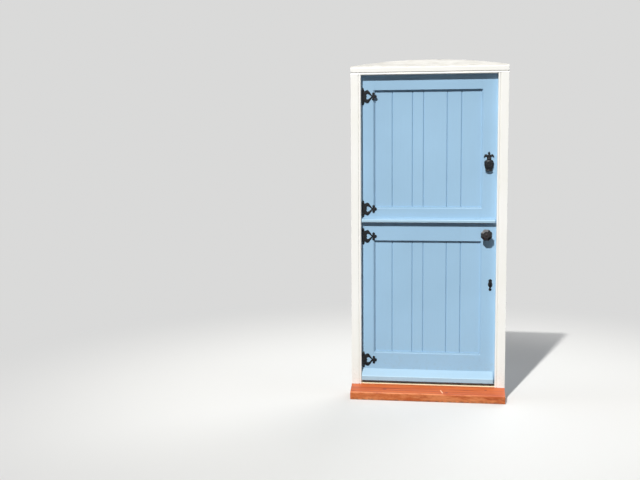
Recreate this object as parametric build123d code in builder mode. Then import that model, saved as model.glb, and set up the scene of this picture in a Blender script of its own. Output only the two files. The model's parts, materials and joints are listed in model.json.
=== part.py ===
from build123d import *

import os
from math import asin, atan, degrees, radians, tan

# Dutch stable door: two boarded leaves, one above the other, in a rebated timber frame.
# X runs along the door as seen from outside, Y runs into the house and Z is up.
# The origin is the middle of the sill's underside, below the outer face of the frame.
# All sizes are millimetres.

# Doorway and frame
sight_width = 819.0  # clear width between the jambs
head_underside = 1983.0  # height of the head above the sill's underside
frame_depth = 80.0
jamb_face = 62.0  # width of a jamb seen from outside
head_face = 44.0
rebate_setback = 33.0  # from the outer face of the frame to the rebate
rebate_width = 12.5
bead_radius = 7.0
quirk_depth = 3.0
quirk_width = 3.5
infill_rise = 45.0  # arched infill above the head, at its middle
infill_end = 10.0  # the same at its ends
infill_setback = 2.0
infill_depth = 52.0

# Sill and threshold strip
sill_projection = 97.0  # in front of the frame
sill_nose = 46.0  # height of the front
sill_slope = 16.5  # degrees
sill_seat = 80.0  # height of the flat part under the leaves
sill_arris = 4.0
drip_width = 7.0
drip_depth = 5.0
drip_inset = 13.0
strip_depth = 28.0
strip_lip = 1.0  # height of the strip above the sill's seat
strip_arris = 3.0

# Leaves
leaf_thickness = 44.0
side_gap = 3.0
stop_gap = 1.0
bottom_gap = 8.0
meeting_gap = 4.0
lower_leaf_height = 998.0
hinge_stile_width = 91.0
lock_stile_width = 103.0
upper_top_rail = 106.5
upper_bottom_rail = 95.0
lower_top_rail = 118.0
lower_bottom_rail = 190.0
bevel = 9.0  # on the inner arrises of stiles and rails
tenon_thickness = 14.0
tenon_length = 14.0
tenon_shoulder = 10.0

# Boards, of random widths in these proportions
board_pattern = (106, 123, 67, 142, 86, 120)
board_thickness = 15.0
board_setback = 14.0
board_entry = 8.0  # how far boards reach into the grooves around them
groove_play = 1.0
v_joint = 4.0
tongue_thickness = 5.0
tongue_length = 5.0
tongue_play = 0.2

# Weather bar of the upper leaf and weatherboard of the lower one
bar_height = 28.0
bar_proud = 26.0
bar_nose = 15.0
bar_lift = 1.0  # above the lower edge of the leaf
bar_end_gap = 1.5  # beside the hinge jamb
bar_swing_gap = 7.5  # beside the lock jamb, so that the leaf swings clear
board_bar_height = 68.0
board_bar_proud = 38.0
board_bar_nose = 26.0
board_bar_lift = 12.0
board_bar_swing_gap = 9.5
bar_arris = 5.0

# Butt hinges, on the inside
hinge_height = 100.0
hinge_plate = 2.6
hinge_plate_width = 30.0  # along the edge of the leaf
hinge_knuckles = 5
knuckle_radius = 6.5
knuckle_face_gap = 0.5
knuckle_gap = 0.3
pin_radius = 2.5
pin_play = 0.05
pin_head_radius = 4.5
pin_head = 2.5
upper_hinge_inset = 135.5  # from the top of the upper leaf to a hinge's middle
upper_hinge_rise = 81.5  # from the bottom of the upper leaf
lower_hinge_inset = 84.0
lower_hinge_rise = 135.0

# Ornamental hinge fronts, on the outer face
front_plate = 3.5
front_bar_radius = 7.5
front_bar_half = 40.0
front_bud_radius = 6.5
front_bud_neck = 3.0
front_bud_length = 9.0
front_edge_gap = 1.5  # beside the hinge jamb
front_half_height = 39.5
front_neck_half = 5.0
lobe_radius = 8.5
lobe_offset = 16.0
lobe_reach = 65.0
tip_lobe_radius = 10.0
tip_lobe_reach = 73.5

# Knob set
knob_backset = 69.0  # from the edge of the leaf
knob_drop = 66.0  # from the top of the lower leaf
knob_radius = 34.0  # across the flats
knob_back_radius = 17.0
knob_face_radius = 20.0
knob_neck_radius = 10.0
knob_neck = 38.0
knob_back_depth = 12.0
knob_front_depth = 13.0
knob_button_radius = 9.0
knob_button = 3.0
knob_sides = 8
rose_radius = 28.0
rose_thickness = 8.0
rose_taper = 60.0  # degrees
rose_play = 0.3
spindle_size = 8.0
spindle_entry = 20.0  # how far the spindle reaches into each knob
spindle_hole_radius = 9.0

# Mortice latch
latch_case_height = 60.0
latch_case_behind = 18.0  # how far the case reaches behind the spindle's axis
case_thickness = 15.0
case_wall = 1.5
forend_thickness = 3.0
forend_width = 22.0
latch_forend_height = 130.0
latch_bolt_width = 12.0
latch_bolt_height = 18.0
latch_bolt_length = 22.0
latch_tail_height = 10.0
latch_tail_thickness = 8.0
latch_throw = 12.0
bolt_setback = 0.2  # of a drawn bolt, behind the forend
bolt_play = 0.2
follower_radius = 9.0
follower_horn = 16.0
follower_horn_width = 6.0
follower_gap = 2.0  # to the tail of the bolt

# Deadlock
lock_drop = 378.0  # from the top of the lower leaf to the middle of the case
lock_case_height = 96.0
lock_forend_height = 150.0
deadbolt_width = 10.0
deadbolt_height = 25.0
deadbolt_length = 46.0
deadbolt_rise = 29.0  # above the middle of the case
deadbolt_throw = 20.0
keyhole_backset = 42.0
lock_case_behind = 25.0  # how far the case reaches behind the keyhole
keyhole_rise = 4.0
keyhole_radius = 4.3
keyhole_slot = 5.2
keyhole_drop = 15.0
escutcheon_thickness = 3.0
escutcheon_half_width = 13.0
escutcheon_half_height = 36.0
escutcheon_body_half = 20.0
escutcheon_body_rise = 4.0
escutcheon_top_lobe = 10.5
escutcheon_foot_lobe = 9.0
escutcheon_neck = 8.0
escutcheon_lift = 4.0  # of the keyhole above the escutcheon's middle

# Keeps on the lock jamb
keep_thickness = 2.0
keep_width = 22.0
latch_keep_height = 90.0
deadlock_keep_height = 100.0
keep_play = 1.5
keep_clearance = 4.0  # behind a thrown bolt

# Knocker
knocker_backset = 58.0  # from the edge of the leaf
knocker_rise = 389.0  # of its pivot, above the bottom of the upper leaf
knocker_plate_thickness = 4.0
knocker_pivot_gap = 8.0  # from the plate to the pivot
knocker_ear = 4.0
knocker_ear_gap = 0.3
knocker_ear_radius = 6.0
knocker_barrel_radius = 5.5
knocker_barrel = 15.0
knocker_pin_radius = 2.0
knocker_body_gap = 0.5
knocker_tip = 42.0  # of the bud, above the pivot
knocker_bud_half = 6.5
knocker_leaf_half = 30.5
knocker_leaf_drop = 4.5  # of the leaves' ends, above the pivot
knocker_leaf_crest = 26.0  # of the leaves' backs, above the pivot
knocker_neck_half = 12.5
knocker_strike_drop = 63.0
knocker_strike_radius = 11.0
knocker_strike_step = 3.0
knocker_strike = 3.0
urn_thickness = 16.0
urn_neck_depth = 7.0
urn_top = 7.0  # of its body, below the pivot
urn_height = 76.0
urn_half_width = 28.5
urn_neck_half = 10.0
urn_foot_half = 18.5
urn_rim_half = 20.5
urn_rim = 6.0
urn_border = 9.0
urn_relief = 2.0
urn_boss_radius = 13.5
urn_boss_drop = 32.0  # of the boss below the pivot
urn_arris = 2.0

# Stable bolt, on the inside, which joins the leaves
tower_backset = 189.0  # from the edge of the leaf
tower_plate_width = 34.0
tower_plate_height = 108.0
tower_plate = 2.0
tower_top_gap = 3.0  # from the plate to the top of the lower leaf
tower_rod_radius = 5.0
tower_rod_gap = 1.5  # from the plate to the rod
tower_rod_length = 96.0
tower_strap = 12.0
tower_strap_wall = 3.0
tower_strap_play = 0.25
tower_strap_inset = 4.0
tower_grip_rise = 46.0
tower_grip_radius = 4.0
tower_grip_reach = 19.0
tower_grip_arris = 1.5
keeper_height = 22.0
keeper_rise = 6.0

# Fixing holes through the back of the jambs
fixing_radius = 5.0
fixing_heights = (350.0, 820.0, 1300.0, 1730.0)

# Sizes that follow from the ones above
sight_half = sight_width / 2
frame_half = sight_half + jamb_face
rebate_half = sight_half + rebate_width
head_top = head_underside + head_face
leaf_half = rebate_half - side_gap
door_face = rebate_setback + stop_gap
leaf_back = door_face + leaf_thickness
leaf_middle = door_face + leaf_thickness / 2
lower_bottom = sill_seat + bottom_gap
lower_top = lower_bottom + lower_leaf_height
upper_bottom = lower_top + meeting_gap
upper_top = head_underside + rebate_width - side_gap
panel_left = hinge_stile_width - leaf_half
panel_right = leaf_half - lock_stile_width
panel_width = panel_right - panel_left
panel_middle = (panel_left + panel_right) / 2
board_front = door_face + board_setback
board_back = board_front + board_thickness
board_middle = (board_front + board_back) / 2
strip_back = rebate_setback - 2 * stop_gap
strip_front = strip_back - strip_depth
strip_seat = sill_nose + (strip_front + sill_projection) * tan(radians(sill_slope))
hinge_x = -(leaf_half + rebate_half) / 2
hinge_y = frame_depth + knuckle_face_gap + knuckle_radius
hinge_plate_front = frame_depth - hinge_plate_width
upper_hinges = (upper_top - upper_hinge_inset, upper_bottom + upper_hinge_rise)
lower_hinges = (lower_top - lower_hinge_inset, lower_bottom + lower_hinge_rise)
knob_x = leaf_half - knob_backset
knob_z = lower_top - knob_drop
forend_back = leaf_half - forend_thickness
lock_z = lower_top - lock_drop
keyhole_x = leaf_half - keyhole_backset
keyhole_z = lock_z + keyhole_rise
deadbolt_z = lock_z + deadbolt_rise
escutcheon_z = keyhole_z - escutcheon_lift
knocker_x = leaf_half - knocker_backset
knocker_z = upper_bottom + knocker_rise
knocker_face = door_face - knocker_plate_thickness
knocker_y = knocker_face - knocker_pivot_gap
tower_x = leaf_half - tower_backset
tower_y = leaf_back + tower_plate + tower_rod_gap + tower_rod_radius
tower_base = lower_top - tower_top_gap - tower_plate_height
fixing_depth = (rebate_setback + frame_depth) / 2
latch_case_depth = knob_backset + latch_case_behind - forend_thickness
lock_case_depth = keyhole_backset + lock_case_behind - forend_thickness

upright = (Align.CENTER, Align.CENTER, Align.MIN)
made = {}


def keep_part(name, part):
    """Labels a finished piece and notes it for writing."""
    part.label = name
    made[name] = part


def elevation(depth, x=0.0, z=0.0):
    """The plane of a front view at a depth, with X to the right and Z up; it faces outside."""
    return Plane(origin=(x, depth, z), x_dir=(1, 0, 0), z_dir=(0, -1, 0))


def block(low, high, mode=Mode.ADD):
    """A box between two corners, in the active part."""
    size = [b - a for a, b in zip(low, high)]
    with Locations(Location(low)):
        Box(*size, align=(Align.MIN, Align.MIN, Align.MIN), mode=mode)


def frame_section(face_width):
    """Rebated section with a quirked bead on its sight edge: across the face, then the depth."""
    bead_turn = 180 - degrees(asin((bead_radius - quirk_depth) / bead_radius))
    quirk_edge = 2 * bead_radius + quirk_width
    with BuildSketch() as section:
        with BuildLine():
            bead = CenterArc((bead_radius, bead_radius), bead_radius, 180, bead_turn)
            Polyline(
                bead @ 1,
                (quirk_edge, quirk_depth),
                (quirk_edge, 0),
                (face_width, 0),
                (face_width, frame_depth),
                (rebate_width, frame_depth),
                (rebate_width, rebate_setback),
                (0, rebate_setback),
                bead @ 0,
            )
        make_face()
    return section.sketch


# Frame: head, sill, threshold strip and infill
with BuildPart() as head:
    with BuildSketch(Plane(origin=(frame_half, 0, head_underside), x_dir=(0, 0, 1), z_dir=(-1, 0, 0))):
        add(frame_section(head_face))
    extrude(amount=2 * frame_half)
keep_part("head", head.part)

with BuildPart() as sill:
    with BuildSketch(Plane.YZ.offset(-frame_half)):
        with BuildLine():
            Polyline(
                (-sill_projection, 0),
                (frame_depth, 0),
                (frame_depth, sill_seat),
                (strip_back, sill_seat),
                (strip_back, strip_seat),
                (strip_front, strip_seat),
                (-sill_projection, sill_nose),
                close=True,
            )
        make_face()
        with Locations((drip_inset - sill_projection, 0)):
            Rectangle(drip_width, 2 * drip_depth, mode=Mode.SUBTRACT)
    extrude(amount=2 * frame_half)
    fillet(sill.edges().filter_by(Axis.X).group_by(Axis.Y)[0].sort_by(Axis.Z)[-1], sill_arris)
keep_part("sill", sill.part)

with BuildPart() as strip:
    with BuildSketch(Plane.YZ.offset(-sight_half)):
        with BuildLine():
            Polyline(
                (strip_front, strip_seat),
                (strip_back, strip_seat),
                (strip_back, sill_seat + strip_lip),
                (strip_front, sill_seat + strip_lip),
                close=True,
            )
        make_face()
    extrude(amount=sight_width)
    fillet(strip.edges().filter_by(Axis.X).group_by(Axis.Y)[0].sort_by(Axis.Z)[-1], strip_arris)
keep_part("threshold_strip", strip.part)

with BuildPart() as infill:
    with BuildSketch(elevation(infill_setback)):
        with BuildLine():
            base = Polyline(
                (-frame_half, head_top + infill_end),
                (-frame_half, head_top),
                (frame_half, head_top),
                (frame_half, head_top + infill_end),
            )
            ThreePointArc(base @ 1, (0, head_top + infill_rise), base @ 0)
        make_face()
    extrude(amount=-infill_depth)
keep_part("arch_infill", infill.part)


# Butt hinges
def knuckle_span(index, middle):
    """Heights of the lower and upper end of one knuckle of a hinge."""
    pitch = hinge_height / hinge_knuckles
    low = middle - hinge_height / 2 + index * pitch
    return low + knuckle_gap / 2, low + pitch - knuckle_gap / 2


def hinge_half(side, middle):
    """One leaf of a butt hinge: side is -1 for the jamb's leaf and 1 for the door's."""
    first = 0 if side < 0 else 1
    plate_face = hinge_x + side * side_gap / 2
    x_low, x_high = sorted((plate_face, plate_face + side * hinge_plate))
    z_low, z_high = middle - hinge_height / 2, middle + hinge_height / 2
    with BuildPart() as half:
        block((x_low, hinge_plate_front, z_low), (x_high, frame_depth, z_high))
        for index in range(first, hinge_knuckles, 2):
            low, high = knuckle_span(index, middle)
            block((x_low, frame_depth, low), (x_high, hinge_y, high))
            with Locations((hinge_x, hinge_y, (low + high) / 2)):
                Cylinder(knuckle_radius, high - low)
        with Locations((hinge_x, hinge_y, middle)):
            Cylinder(pin_radius + pin_play, hinge_height, mode=Mode.SUBTRACT)
    return half.part


def hinge_pins(middles):
    """The pins of a leaf's hinges, each with a flat head on the top knuckle."""
    with BuildPart() as pins:
        for middle in middles:
            top = middle + hinge_height / 2
            with Locations((hinge_x, hinge_y, middle)):
                Cylinder(pin_radius, hinge_height)
            with Locations((hinge_x, hinge_y, top)):
                Cylinder(pin_head_radius, pin_head, align=upright)
    return pins.part


hinge_names = (
    ("upper_top", upper_hinges[0]),
    ("upper_lower", upper_hinges[1]),
    ("lower_top", lower_hinges[0]),
    ("lower_bottom", lower_hinges[1]),
)
for name, middle in hinge_names:
    keep_part(name + "_hinge_jamb_leaf", hinge_half(-1, middle))
    keep_part(name + "_hinge_door_leaf", hinge_half(1, middle))
keep_part("upper_hinge_pins", hinge_pins(upper_hinges))
keep_part("lower_hinge_pins", hinge_pins(lower_hinges))


# Keeps of the latch and the deadlock, sunk in the rebate of the lock jamb
def keep_plate(middle, height, bolt_width, bolt_height):
    """A flat keep with a hole for its bolt."""
    with BuildPart() as keep:
        block(
            (rebate_half, leaf_middle - keep_width / 2, middle - height / 2),
            (rebate_half + keep_thickness, leaf_middle + keep_width / 2, middle + height / 2),
        )
        with Locations((rebate_half, leaf_middle, middle)):
            Box(
                4 * keep_thickness,
                bolt_width + 2 * keep_play,
                bolt_height + 2 * keep_play,
                mode=Mode.SUBTRACT,
            )
    return keep.part


def keep_mortise(middle, height, bolt_width, bolt_height, throw):
    """Cuts the seat of a keep and the hole behind it, in the active part."""
    block(
        (rebate_half, leaf_middle - keep_width / 2, middle - height / 2),
        (rebate_half + keep_thickness, leaf_middle + keep_width / 2, middle + height / 2),
        mode=Mode.SUBTRACT,
    )
    half_width, half_height = bolt_width / 2 + keep_play, bolt_height / 2 + keep_play
    block(
        (rebate_half, leaf_middle - half_width, middle - half_height),
        (leaf_half + throw + keep_clearance, leaf_middle + half_width, middle + half_height),
        mode=Mode.SUBTRACT,
    )


latch_bolt_size = (latch_bolt_width, latch_bolt_height)
deadbolt_size = (deadbolt_width, deadbolt_height)
keep_part("latch_keep", keep_plate(knob_z, latch_keep_height, *latch_bolt_size))
keep_part("deadlock_keep", keep_plate(deadbolt_z, deadlock_keep_height, *deadbolt_size))


def jamb_post(side):
    """A jamb scribed over the head's bead and onto the sill; side is -1 at the hinges."""
    foot = Plane(origin=(side * sight_half, 0, 0), x_dir=(side, 0, 0), z_dir=(0, 0, side))
    with BuildPart() as post:
        with BuildSketch(foot):
            add(frame_section(jamb_face))
        extrude(amount=side * (head_underside + rebate_width))
        add(head.part, mode=Mode.SUBTRACT)
        add(sill.part, mode=Mode.SUBTRACT)
        x_low, x_high = sorted((side * sight_half, side * frame_half))
        block(
            (x_low, 0, head_underside + bead_radius),
            (x_high, rebate_setback, head_underside + rebate_width),
            mode=Mode.SUBTRACT,
        )
        for height in fixing_heights:
            with Locations(Location((side * frame_half, fixing_depth, height), (0, 90, 0))):
                Cylinder(fixing_radius, 3 * jamb_face, mode=Mode.SUBTRACT)
        if side < 0:
            for name, middle in hinge_names:
                block(
                    (-rebate_half - hinge_plate, hinge_plate_front, middle - hinge_height / 2),
                    (-rebate_half, frame_depth, middle + hinge_height / 2),
                    mode=Mode.SUBTRACT,
                )
        else:
            keep_mortise(knob_z, latch_keep_height, *latch_bolt_size, latch_throw)
            keep_mortise(deadbolt_z, deadlock_keep_height, *deadbolt_size, deadbolt_throw)
    return post.part


keep_part("hinge_jamb", jamb_post(-1))
keep_part("lock_jamb", jamb_post(1))


# Leaves: boards in a grooved frame of stiles and rails
def panel_tool(low, high):
    """What is cut around a panel: the groove for its boards and the bevels on both faces."""
    width, height = panel_width, high - low
    reach = board_entry + groove_play
    middle = (panel_middle, (low + high) / 2)
    with BuildPart() as tool:
        block(
            (panel_left - reach, board_front, low - reach),
            (panel_right + reach, board_back, high + reach),
        )
        with BuildSketch(elevation(door_face)):
            with Locations(middle):
                Rectangle(width + 2 * bevel, height + 2 * bevel)
        extrude(amount=-bevel, taper=45)
        with BuildSketch(elevation(leaf_back)):
            with Locations(middle):
                Rectangle(width + 2 * bevel, height + 2 * bevel)
        extrude(amount=bevel, taper=45)
    return tool.part


def rail(low, high, tool):
    """A rail between the stiles, with a stub tenon at each end."""
    with BuildPart() as member:
        block((panel_left, door_face, low), (panel_right, leaf_back, high))
        block(
            (panel_left - tenon_length, leaf_middle - tenon_thickness / 2, low + tenon_shoulder),
            (panel_right + tenon_length, leaf_middle + tenon_thickness / 2, high - tenon_shoulder),
        )
        add(tool, mode=Mode.SUBTRACT)
    return member.part


def stile(left, right, low, high, tool, rails):
    """A stile of the leaf's full height, with a mortise for each rail."""
    with BuildPart() as member:
        block((left, door_face, low), (right, leaf_back, high))
        add(tool, mode=Mode.SUBTRACT)
        for rail_part in rails:
            add(rail_part, mode=Mode.SUBTRACT)
    return member.part


def board(left, right, low, high, first, last):
    """A tongued and grooved board with a V at each joint, plain where it enters a stile."""
    groove_half = tongue_thickness / 2 + tongue_play / 2
    groove_end = left + tongue_length + tongue_play
    tongue_half = tongue_thickness / 2
    if first:
        left_side = [(left - board_entry, board_front), (left - board_entry, board_back)]
    else:
        left_side = [
            (left + v_joint, board_front),
            (left, board_front + v_joint),
            (left, board_middle - groove_half),
            (groove_end, board_middle - groove_half),
            (groove_end, board_middle + groove_half),
            (left, board_middle + groove_half),
            (left, board_back - v_joint),
            (left + v_joint, board_back),
        ]
    if last:
        right_side = [(right + board_entry, board_back), (right + board_entry, board_front)]
    else:
        right_side = [
            (right - v_joint, board_back),
            (right, board_back - v_joint),
            (right, board_middle + tongue_half),
            (right + tongue_length, board_middle + tongue_half),
            (right + tongue_length, board_middle - tongue_half),
            (right, board_middle - tongue_half),
            (right, board_front + v_joint),
            (right - v_joint, board_front),
        ]
    with BuildPart() as strip_of_wood:
        with BuildSketch(Plane.XY.offset(low - board_entry)):
            with BuildLine():
                Polyline(*left_side, *right_side, close=True)
            make_face()
        extrude(amount=high - low + 2 * board_entry)
    return strip_of_wood.part


def weathered_bar(left, right, low, height, proud, nose):
    """A bar on the outer face with a sloped top, a round nose and a drip groove below."""
    with BuildPart() as bar:
        with BuildSketch(Plane.YZ.offset(left)):
            with BuildLine():
                Polyline(
                    (door_face, low),
                    (door_face, low + height),
                    (door_face - proud, low + nose),
                    (door_face - proud, low),
                    close=True,
                )
            make_face()
            with Locations((door_face - proud + drip_inset / 2, low)):
                Rectangle(drip_width / 2, drip_depth, mode=Mode.SUBTRACT)
        extrude(amount=right - left)
        front_edges = bar.edges().filter_by(Axis.X).group_by(Axis.Y)[0].sort_by(Axis.Z)
        fillet(front_edges[-1], bar_arris)
    return bar.part


leaves = (
    ("upper", upper_bottom, upper_top, upper_bottom_rail, upper_top_rail),
    ("lower", lower_bottom, lower_top, lower_bottom_rail, lower_top_rail),
)
stiles = {}
for name, low, high, bottom_rail, top_rail in leaves:
    panel_low, panel_high = low + bottom_rail, high - top_rail
    tool = panel_tool(panel_low, panel_high)
    rails = (rail(low, panel_low, tool), rail(panel_high, high, tool))
    keep_part(name + "_bottom_rail", rails[0])
    keep_part(name + "_top_rail", rails[1])
    stiles[name + "_hinge_stile"] = stile(-leaf_half, panel_left, low, high, tool, rails)
    stiles[name + "_lock_stile"] = stile(panel_right, leaf_half, low, high, tool, rails)
    edge = panel_left
    for number, share in enumerate(board_pattern, 1):
        right = edge + panel_width * share / sum(board_pattern)
        first, last = number == 1, number == len(board_pattern)
        keep_part(f"{name}_board_{number}", board(edge, right, panel_low, panel_high, first, last))
        edge = right

bar_left = bar_end_gap - sight_half
keep_part(
    "weather_bar",
    weathered_bar(bar_left, sight_half - bar_swing_gap, upper_bottom + bar_lift, bar_height, bar_proud, bar_nose),
)
keep_part(
    "weatherboard",
    weathered_bar(
        bar_left,
        sight_half - board_bar_swing_gap,
        lower_bottom + board_bar_lift,
        board_bar_height,
        board_bar_proud,
        board_bar_nose,
    ),
)


def hinge_seats(middles):
    """Cuts the seats of a leaf's butt hinges in the active part."""
    for middle in middles:
        block(
            (-leaf_half, hinge_plate_front, middle - hinge_height / 2),
            (-leaf_half + hinge_plate, leaf_back, middle + hinge_height / 2),
            mode=Mode.SUBTRACT,
        )


for name, middles in (("upper", upper_hinges), ("lower", lower_hinges)):
    with BuildPart() as hung_stile:
        add(stiles[name + "_hinge_stile"])
        hinge_seats(middles)
    keep_part(name + "_hinge_stile", hung_stile.part)
keep_part("upper_lock_stile", stiles["upper_lock_stile"])


# Locks
def keyhole_sketch(play=0.0, mode=Mode.ADD):
    """A keyhole in the active sketch: a round head with a slot below."""
    with Locations((keyhole_x, keyhole_z)):
        Circle(keyhole_radius + play, mode=mode)
    with Locations((keyhole_x, keyhole_z - keyhole_drop / 2)):
        Rectangle(keyhole_slot + 2 * play, keyhole_drop + 2 * play, mode=mode)


def case_block(middle, depth, height, mode=Mode.ADD):
    """The outside of a lock case behind its forend."""
    block(
        (forend_back - depth, leaf_middle - case_thickness / 2, middle - height / 2),
        (forend_back, leaf_middle + case_thickness / 2, middle + height / 2),
        mode=mode,
    )


def forend_block(middle, height, mode=Mode.ADD):
    """The forend, sunk in the edge of the leaf."""
    block(
        (forend_back, leaf_middle - forend_width / 2, middle - height / 2),
        (leaf_half, leaf_middle + forend_width / 2, middle + height / 2),
        mode=mode,
    )


def lock_shell(middle, depth, height, forend_height, bolt_z, bolt_width, bolt_height):
    """A thin case riveted to its forend, with the hole that its bolt slides in."""
    inside = case_thickness / 2 - case_wall
    with BuildPart() as shell:
        case_block(middle, depth, height)
        forend_block(middle, forend_height)
        block(
            (forend_back - depth + case_wall, leaf_middle - inside, middle - height / 2 + case_wall),
            (forend_back, leaf_middle + inside, middle + height / 2 - case_wall),
            mode=Mode.SUBTRACT,
        )
        with Locations((forend_back, leaf_middle, bolt_z)):
            Box(
                4 * forend_thickness,
                bolt_width + 2 * bolt_play,
                bolt_height + 2 * bolt_play,
                mode=Mode.SUBTRACT,
            )
    return shell.part


with BuildPart() as latch_case:
    add(
        lock_shell(
            knob_z, latch_case_depth, latch_case_height, latch_forend_height, knob_z, *latch_bolt_size
        )
    )
    with Locations(Location((knob_x, leaf_middle, knob_z), (90, 0, 0))):
        Cylinder(spindle_hole_radius - case_wall, case_thickness, mode=Mode.SUBTRACT)
keep_part("latch_case", latch_case.part)

with BuildPart() as lock_case:
    add(
        lock_shell(
            lock_z, lock_case_depth, lock_case_height, lock_forend_height, deadbolt_z, *deadbolt_size
        )
    )
    with BuildSketch(elevation(leaf_middle)):
        keyhole_sketch()
    extrude(amount=case_thickness / 2, both=True, mode=Mode.SUBTRACT)
keep_part("lock_case", lock_case.part)

with BuildPart() as lower_lock_stile:
    add(stiles["lower_lock_stile"])
    case_block(knob_z, latch_case_depth, latch_case_height, mode=Mode.SUBTRACT)
    forend_block(knob_z, latch_forend_height, mode=Mode.SUBTRACT)
    case_block(lock_z, lock_case_depth, lock_case_height, mode=Mode.SUBTRACT)
    forend_block(lock_z, lock_forend_height, mode=Mode.SUBTRACT)
    with Locations(Location((knob_x, leaf_middle, knob_z), (90, 0, 0))):
        Cylinder(spindle_hole_radius, 2 * leaf_thickness, mode=Mode.SUBTRACT)
    with BuildSketch(elevation(leaf_middle)):
        keyhole_sketch(play=bolt_play)
    extrude(amount=leaf_thickness, both=True, mode=Mode.SUBTRACT)
keep_part("lower_lock_stile", lower_lock_stile.part)

with BuildPart() as lower_top_rail:
    add(made["lower_top_rail"])
    case_block(knob_z, latch_case_depth, latch_case_height, mode=Mode.SUBTRACT)
keep_part("lower_top_rail", lower_top_rail.part)

bolt_end = leaf_half - bolt_setback
latch_tail_end = knob_x + follower_radius + follower_gap
with BuildPart() as latch_bolt:
    block(
        (bolt_end - latch_bolt_length, leaf_middle - latch_bolt_width / 2, knob_z - latch_bolt_height / 2),
        (bolt_end, leaf_middle + latch_bolt_width / 2, knob_z + latch_bolt_height / 2),
    )
    outer_end = latch_bolt.edges().filter_by(Axis.Z).group_by(Axis.X)[-1].sort_by(Axis.Y)[0]
    chamfer(outer_end, length=latch_bolt_width * 0.7)
    block(
        (latch_tail_end, leaf_middle - latch_tail_thickness / 2, knob_z - latch_tail_height / 2),
        (
            bolt_end - latch_bolt_length / 2,
            leaf_middle + latch_tail_thickness / 2,
            knob_z + latch_tail_height / 2,
        ),
    )
keep_part("latch_bolt", latch_bolt.part)

with BuildPart() as deadbolt:
    block(
        (bolt_end - deadbolt_length, leaf_middle - deadbolt_width / 2, deadbolt_z - deadbolt_height / 2),
        (bolt_end, leaf_middle + deadbolt_width / 2, deadbolt_z + deadbolt_height / 2),
    )
keep_part("deadbolt", deadbolt.part)

follower_thickness = case_thickness - 2 * case_wall - 2 * bolt_play
with BuildPart() as follower:
    with BuildSketch(elevation(leaf_middle)):
        with Locations((knob_x, knob_z)):
            Circle(follower_radius)
            Rectangle(follower_horn_width, 2 * follower_horn)
            Rectangle(spindle_size, spindle_size, mode=Mode.SUBTRACT)
    extrude(amount=follower_thickness / 2, both=True)
keep_part("latch_follower", follower.part)


def escutcheon(face, outward):
    """A lobed escutcheon with a keyhole; outward is 1 on the outer face and -1 on the inner one."""
    lobes = (
        (escutcheon_top_lobe, escutcheon_half_height - escutcheon_top_lobe),
        (escutcheon_foot_lobe, escutcheon_foot_lobe - escutcheon_half_height),
    )
    with BuildPart() as plate:
        with BuildSketch(elevation(face)):
            with Locations((keyhole_x, escutcheon_z + escutcheon_body_rise)):
                Ellipse(escutcheon_half_width, escutcheon_body_half)
            for radius, rise in lobes:
                with Locations((keyhole_x, escutcheon_z + rise)):
                    Circle(radius)
            with Locations((keyhole_x, escutcheon_z)):
                Rectangle(escutcheon_neck, 2 * (escutcheon_half_height - escutcheon_foot_lobe))
            keyhole_sketch(mode=Mode.SUBTRACT)
        extrude(amount=outward * escutcheon_thickness)
    return plate.part


keep_part("outer_escutcheon", escutcheon(door_face, 1))
keep_part("inner_escutcheon", escutcheon(leaf_back, -1))


# Knob set: a rose and a faceted knob on each face, joined by a square spindle
def knob_plane(outside):
    """The plane at the knob's middle on one face of the leaf, facing away from the leaf."""
    if outside:
        return Plane(origin=(knob_x, door_face, knob_z), x_dir=(1, 0, 0), z_dir=(0, -1, 0))
    return Plane(origin=(knob_x, leaf_back, knob_z), x_dir=(-1, 0, 0), z_dir=(0, 1, 0))


def rose(outside):
    """A rose with a sloped rim and a bore for the knob's neck."""
    plane = knob_plane(outside)
    rim = plane.offset(rose_thickness / 2)
    with BuildPart() as disc:
        with BuildSketch(plane):
            Circle(rose_radius)
        extrude(amount=rose_thickness / 2)
        with BuildSketch(rim):
            Circle(rose_radius)
        extrude(amount=rose_thickness / 2, taper=rose_taper)
        with BuildSketch(plane):
            Circle(knob_neck_radius + rose_play)
        extrude(amount=rose_thickness, mode=Mode.SUBTRACT)
    return disc.part


def knob(outside):
    """A faceted knob: two tapered stages on a round neck, with a button in the middle."""
    plane = knob_plane(outside)
    turn = 180 / knob_sides
    widest = knob_neck + knob_back_depth
    face = widest + knob_front_depth
    with BuildPart() as turned:
        with BuildSketch(plane.offset(rose_play)):
            Circle(knob_neck_radius)
        extrude(amount=knob_neck + 1)
        for end, depth, slope in (
            (knob_back_radius, -knob_back_depth, knob_radius - knob_back_radius),
            (knob_face_radius, knob_front_depth, knob_radius - knob_face_radius),
        ):
            with BuildSketch(plane.offset(widest)):
                RegularPolygon(knob_radius, knob_sides, major_radius=False, rotation=turn)
            extrude(amount=depth, taper=degrees(atan(slope / abs(depth))))
        with BuildSketch(plane.offset(face)):
            Circle(knob_button_radius)
        extrude(amount=knob_button, taper=30)
        with BuildSketch(plane.offset(rose_play)):
            Rectangle(spindle_size, spindle_size)
        extrude(amount=spindle_entry, mode=Mode.SUBTRACT)
    return turned.part


keep_part("outer_rose", rose(True))
keep_part("inner_rose", rose(False))
keep_part("outer_knob", knob(True))
keep_part("inner_knob", knob(False))

spindle_end = rose_play + spindle_entry
with BuildPart() as spindle:
    block(
        (knob_x - spindle_size / 2, door_face - spindle_end, knob_z - spindle_size / 2),
        (knob_x + spindle_size / 2, leaf_back + spindle_end, knob_z + spindle_size / 2),
    )
keep_part("spindle", spindle.part)


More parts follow.
